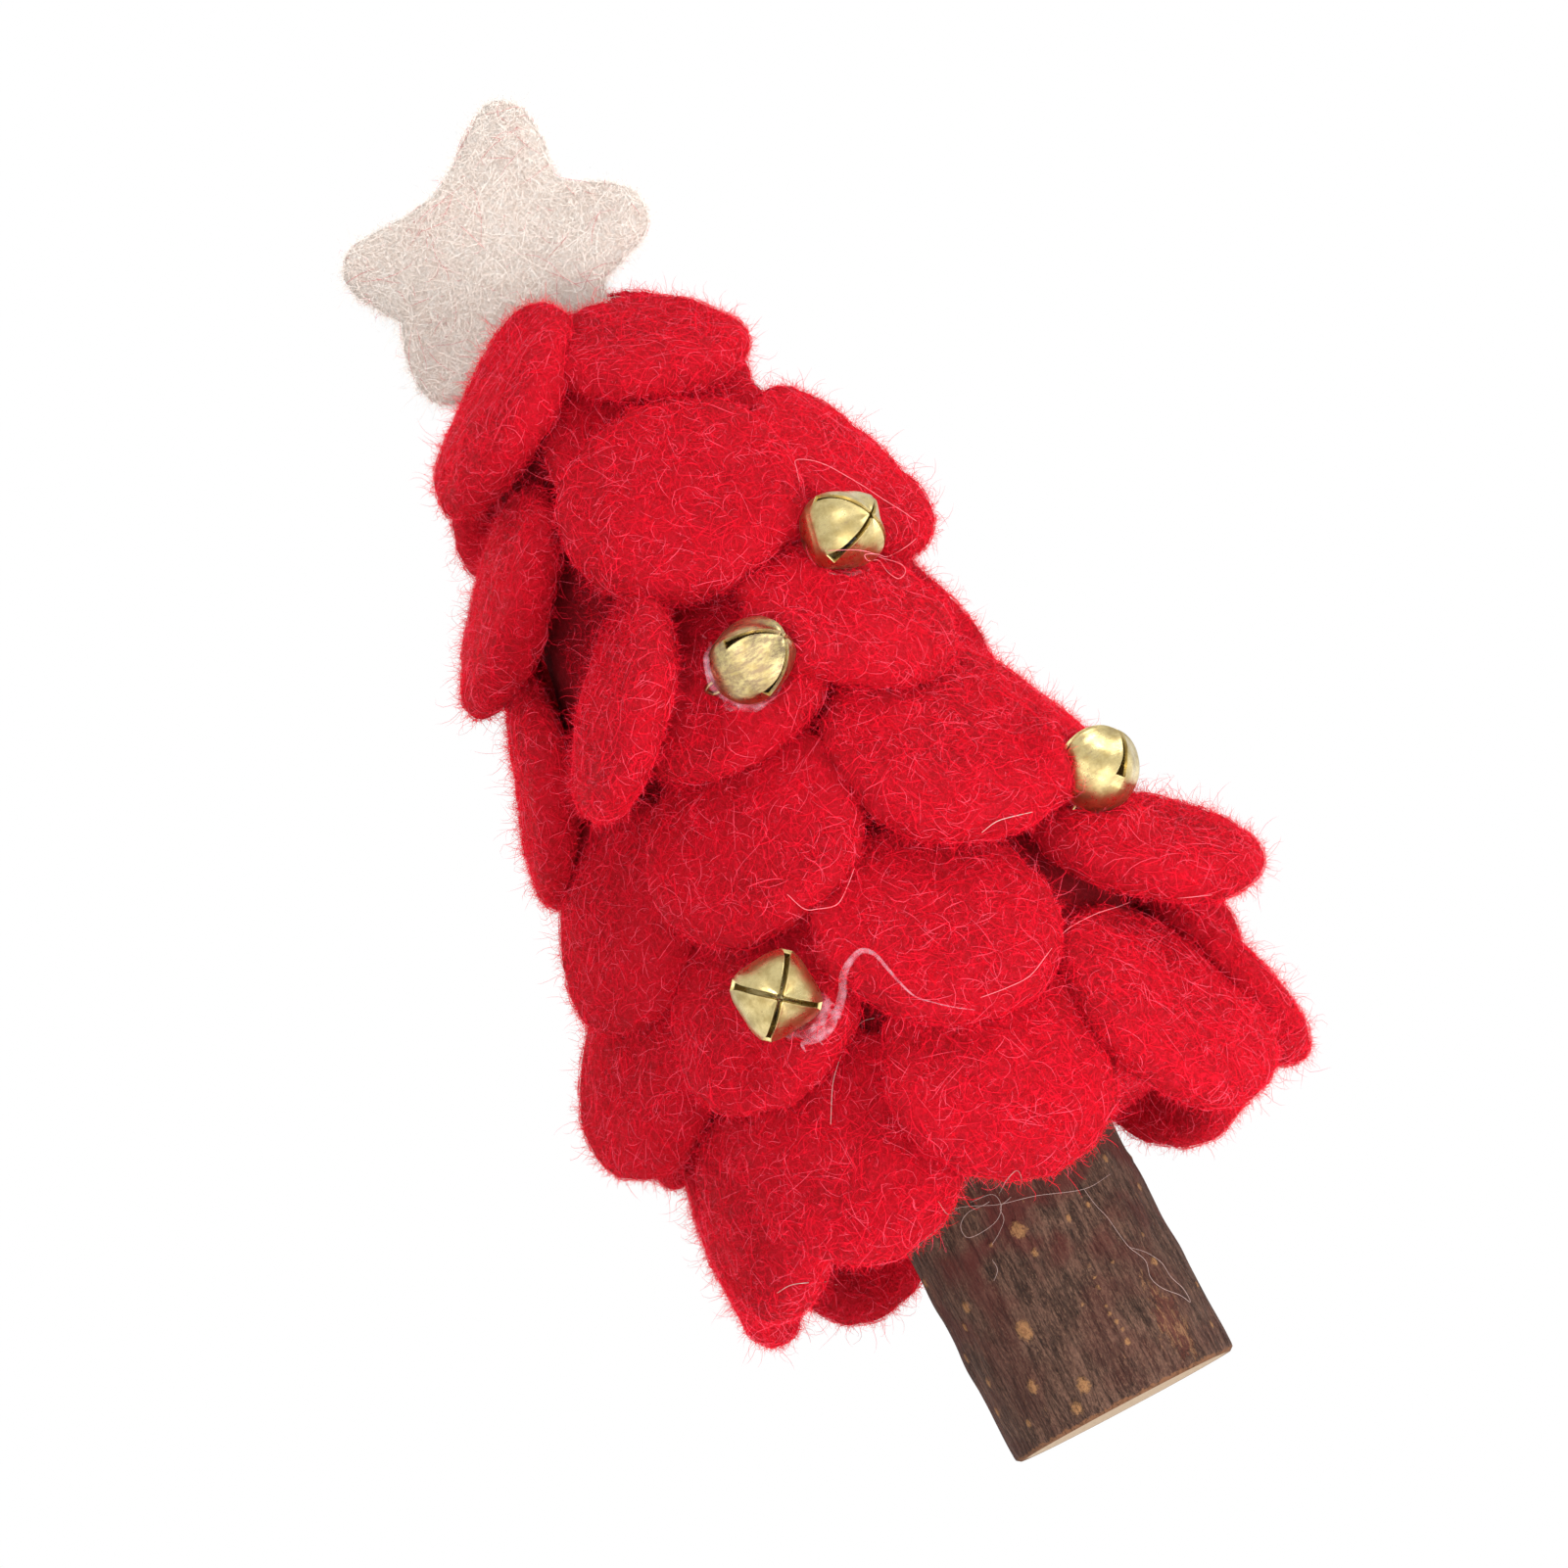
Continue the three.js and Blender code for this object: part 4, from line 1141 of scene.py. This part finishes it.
brassMeshes = {n: bpy.data.meshes[f"{n}_brass"] for n in bellNames}
sceneTree, _ = searchTree({**feltMeshes, "log": barkLog.data, **brassMeshes})
strings = {
    "glue_string": {"material": hotGlue, "lift": 0.45,
        "radii": [0.5, 0.62, 0.6, 0.5, 0.4, 0.32, 0.24, 0.2, 0.15, 0.1, 0.08, 0.06, 0.04], "path": [
        (-7.8, -28.1), (-6.9, -26.9), (-5.7, -25.5), (-4.3, -23.9), (-2.9, -22.9), (-1.3, -22.6),
        (-0.1, -23.6), (0.4, -25.5), (1, -28), (1.8, -30.2), (3.5, -31.9), (5.3, -33.4), (7.6, -34.8),
    ]},
    "glue_foot": {"material": hotGlue, "lift": 0.3, "radii": [0.35, 0.6, 0.6, 0.45, 0.3, 0.1], "path": [
        (-7, -26.8), (-8.5, -28.2), (-9.9, -28.9), (-11.4, -29.1), (-12.7, -29), (-12.8, -29.9),
    ]},
    "glue_bead": {"material": hotGlue, "lift": 0.35,
        "radii": [0.12, 0.3, 0.36, 0.4, 0.55, 0.5, 0.15], "path": [
        (-0.3, 20.5), (0, 18.8), (-0.8, 17.8), (-1.4, 16.2), (-1.6, 14.4), (-1.4, 12.6), (-0.4, 10.7),
    ]},
    "bell3_thread": {"material": roseThread, "lift": 0.6, "radii": [0.04], "path": [
        (18.3, 22.5), (20.9, 21.5), (22.6, 20.1), (22.8, 18.4), (24.5, 16.7), (24.6, 15.5), (23.5, 15.1),
        (22.7, 16.5), (22.4, 18.2), (21.7, 19.7), (21.6, 20.5), (23, 19.8), (24.2, 19), (26, 18.8),
        (27.7, 19),
    ]},
    "upper_thread": {"material": roseThread, "lift": 0.5, "radii": [0.035], "path": [
        (18.4, 31.4), (18.8, 32.9), (19.2, 34), (20.8, 33), (22.4, 31.4), (23.8, 29.3), (25.1, 27.1),
        (26.4, 24.7), (27.7, 22.5), (28.7, 20.5),
    ]},
    "side_thread": {"material": roseThread, "lift": 0.5, "radii": [0.035], "path": [
        (8.8, -34), (11.9, -34.5), (15.1, -34.5), (18.1, -33.3), (21.6, -32.2), (25.4, -32),
        (28.3, -32.4), (31.2, -32.8), (35.9, -34.3), (39.5, -35.8), (41.4, -38.1),
    ]},
    "side_tail": {"material": paleThread, "lift": 0.5, "radii": [0.035], "path": [
        (18.3, -16.1), (20.3, -15.9), (22, -16.2), (24.7, -16.9),
    ]},
    "low_thread": {"material": paleThread, "lift": 0.4, "radii": [0.035], "path": [
        (-3.6, -30.4), (-5.1, -30.1), (-7.1, -31), (-8.8, -32.2), (-10.4, -33.6), (-12, -35.4),
        (-14.3, -39.3),
    ]},
    "arc_thread": {"material": roseThread, "lift": 0.4, "radii": [0.04], "path": [
        (-5.8, -12.1), (-5, -14.2), (-3.5, -15.6), (-1.3, -16.2), (0.7, -15), (2.5, -12.7),
    ]},
    "hem_thread": {"material": paleThread, "lift": 0.4, "radii": [0.035], "path": [
        (-29.4, -54.1), (-27.6, -53.9), (-25.7, -54.5), (-24, -55.6), (-23.1, -56.6),
    ]},
    "log_line": {"material": duskThread, "lift": 0.3, "radii": [0.028], "path": [
        (-12.6, -57.6), (-10.5, -56.4), (-8.3, -56.3), (-6.3, -55.2), (-4.1, -55.8), (-0.9, -57.3),
        (3.5, -58.5), (8.9, -60.5), (12.6, -60.4), (16.4, -60.2), (19.3, -59.7),
    ]},
    "log_drop": {"material": duskThread, "lift": 0.25, "radii": [0.028], "path": [
        (8.9, -60.5), (9.2, -62.8), (9.8, -64.8), (10.1, -67.1), (10.5, -69.3), (11.4, -71.6),
        (11, -73.7), (11.6, -75.5), (13.1, -77.3), (13.8, -78.6), (13.8, -76.8), (13.2, -74.9),
        (13, -72.9), (12.4, -71.5), (11.6, -70.4), (10.5, -69.3),
    ]},
    "log_tangle": {"material": duskThread, "lift": 0.35, "radii": [0.028], "path": [
        (-7.3, -53.4), (-7.1, -55.1), (-5.2, -55.4), (-3.2, -55.5), (-1, -55.9), (-0.7, -57.6),
        (-2, -58.9), (-4.4, -59.3), (-6, -59), (-6, -57.4), (-4.5, -56.4), (-2.1, -56.5), (-0.2, -56.1),
        (1.2, -54.9), (2.9, -54.4), (3.1, -55.4), (2.2, -56.7), (0.5, -57.3), (-0.9, -57.7),
        (-1.2, -59.2), (-2.5, -60.4), (-3.9, -61.2),
    ]},
    "log_tail": {"material": duskThread, "lift": 0.2, "radii": [0.028], "path": [
        (-4.7, -62.8), (-4.7, -64.2), (-5.7, -65.2),
    ]},
}
threadEnds = (0.15, 0.85)  # the part of a sine wave that rounds off a thread's ends
for name, facts in strings.items():
    places = [onTree(across, up, facts["lift"]) for across, up in facts["path"]]
    path = smoothPath([at for at in places if at is not None], 6)
    along = np.linspace(0, 1, len(path))
    radii = np.interp(along, np.linspace(0, 1, len(facts["radii"])), facts["radii"]) * mm
    radii *= np.sin(np.linspace(*threadEnds, len(path)) * math.pi) ** 0.5
    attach(newObject(name, tubeMesh(name, path, radii, 8, facts["material"])), "tree")
print("strings and threads are laid")


# Stage: a pale floor, seen only from above, under an even white sky
def seenRays(r):  # by the camera, in metal and through glass
    path = r.add("ShaderNodeLightPath", output="Is Camera Ray")
    rays = path.socket.node.outputs
    seen = path + Wire(r, rays["Is Glossy Ray"]) + Wire(r, rays["Is Transmission Ray"])
    return r.add("ShaderNodeMath", {"operation": "MINIMUM"}, [seen, 1])


def addSky():
    world = bpy.data.worlds.new("sky")
    world.use_nodes = True
    scene.world = world
    r = Recipe("sky", world.node_tree)
    white = r.add("ShaderNodeBackground", None, {"Color": (1, 1, 1, 1), "Strength": view["white"]})
    soft = r.add("ShaderNodeBackground", None, {"Color": (1, 1, 1, 1), "Strength": view["skyLight"]})
    both = r.add("ShaderNodeMixShader", None, [seenRays(r), soft, white])
    r.add("ShaderNodeOutputWorld", None, {"Surface": both})


def floorMaterial():
    r = Recipe("floor")
    behind = r.add("ShaderNodeNewGeometry", output="Backfacing")
    speck = r.clouds(r.place(), 0.05, 2)
    colour = r.mix(speck, (0.95, 0.95, 0.95, 1), (0.97, 0.97, 0.97, 1))
    pale = r.add("ShaderNodeBsdfPrincipled", None, {
        "Base Color": colour,
        "Roughness": 0.9,
        "Emission Color": (1, 1, 1, 1),
        "Emission Strength": view["floorGlow"],
    })
    clear = r.add("ShaderNodeBsdfTransparent")
    shown = seenRays(r) * (1 - behind)
    return r.finish(r.add("ShaderNodeMixShader", None, [shown, clear, pale]))


def addFloor():
    half = view["floorSize"] / 2
    low = -view["floorDrop"]
    square = [(-half, -half, low), (half, -half, low), (half, half, low), (-half, half, low)]
    newObject("floor", newMesh("floor", square, [(0, 1, 2, 3)], floorMaterial()))


def addLamp(name, across, up, near, size, power):
    data = bpy.data.lights.new(name, "AREA")
    data.shape = "DISK"
    data.size = size
    data.energy = power
    lamp = newObject(name, data)
    lamp.visible_camera = False
    place = view["aim"] + viewRight * across + viewTop * up - ahead * near
    turn = (place - view["aim"]).to_track_quat("Z", "Y").to_matrix().to_4x4()
    lamp.matrix_world = Matrix.Translation(place) @ turn


def addCamera():
    data = bpy.data.cameras.new("camera")
    data.lens = view["lens"]
    data.sensor_width = view["sensor"]
    data.clip_start = view["nearest"]
    camera = newObject("camera", data)
    turn = Matrix((viewRight, viewTop, -ahead)).transposed().to_4x4()
    camera.matrix_world = Matrix.Translation(eye) @ turn
    scene.camera = camera


# Soft lamps: metres across, up and near as the camera sees them, then size and power
lamps = {
    "key": (0.8, -0.2, 0.65, 0.5, 11),
    "front": (-0.15, -0.15, 1.0, 0.7, 9),
    "top": (0.1, 0.9, 0.3, 0.5, 4),
    "back": (-0.5, 0.3, -1.1, 0.8, 9),
}
addSky()
addFloor()
for name, facts in lamps.items():
    addLamp(name, *facts)
addCamera()
scene.view_settings.view_transform = "Standard"
print("stage, lights and camera are set")
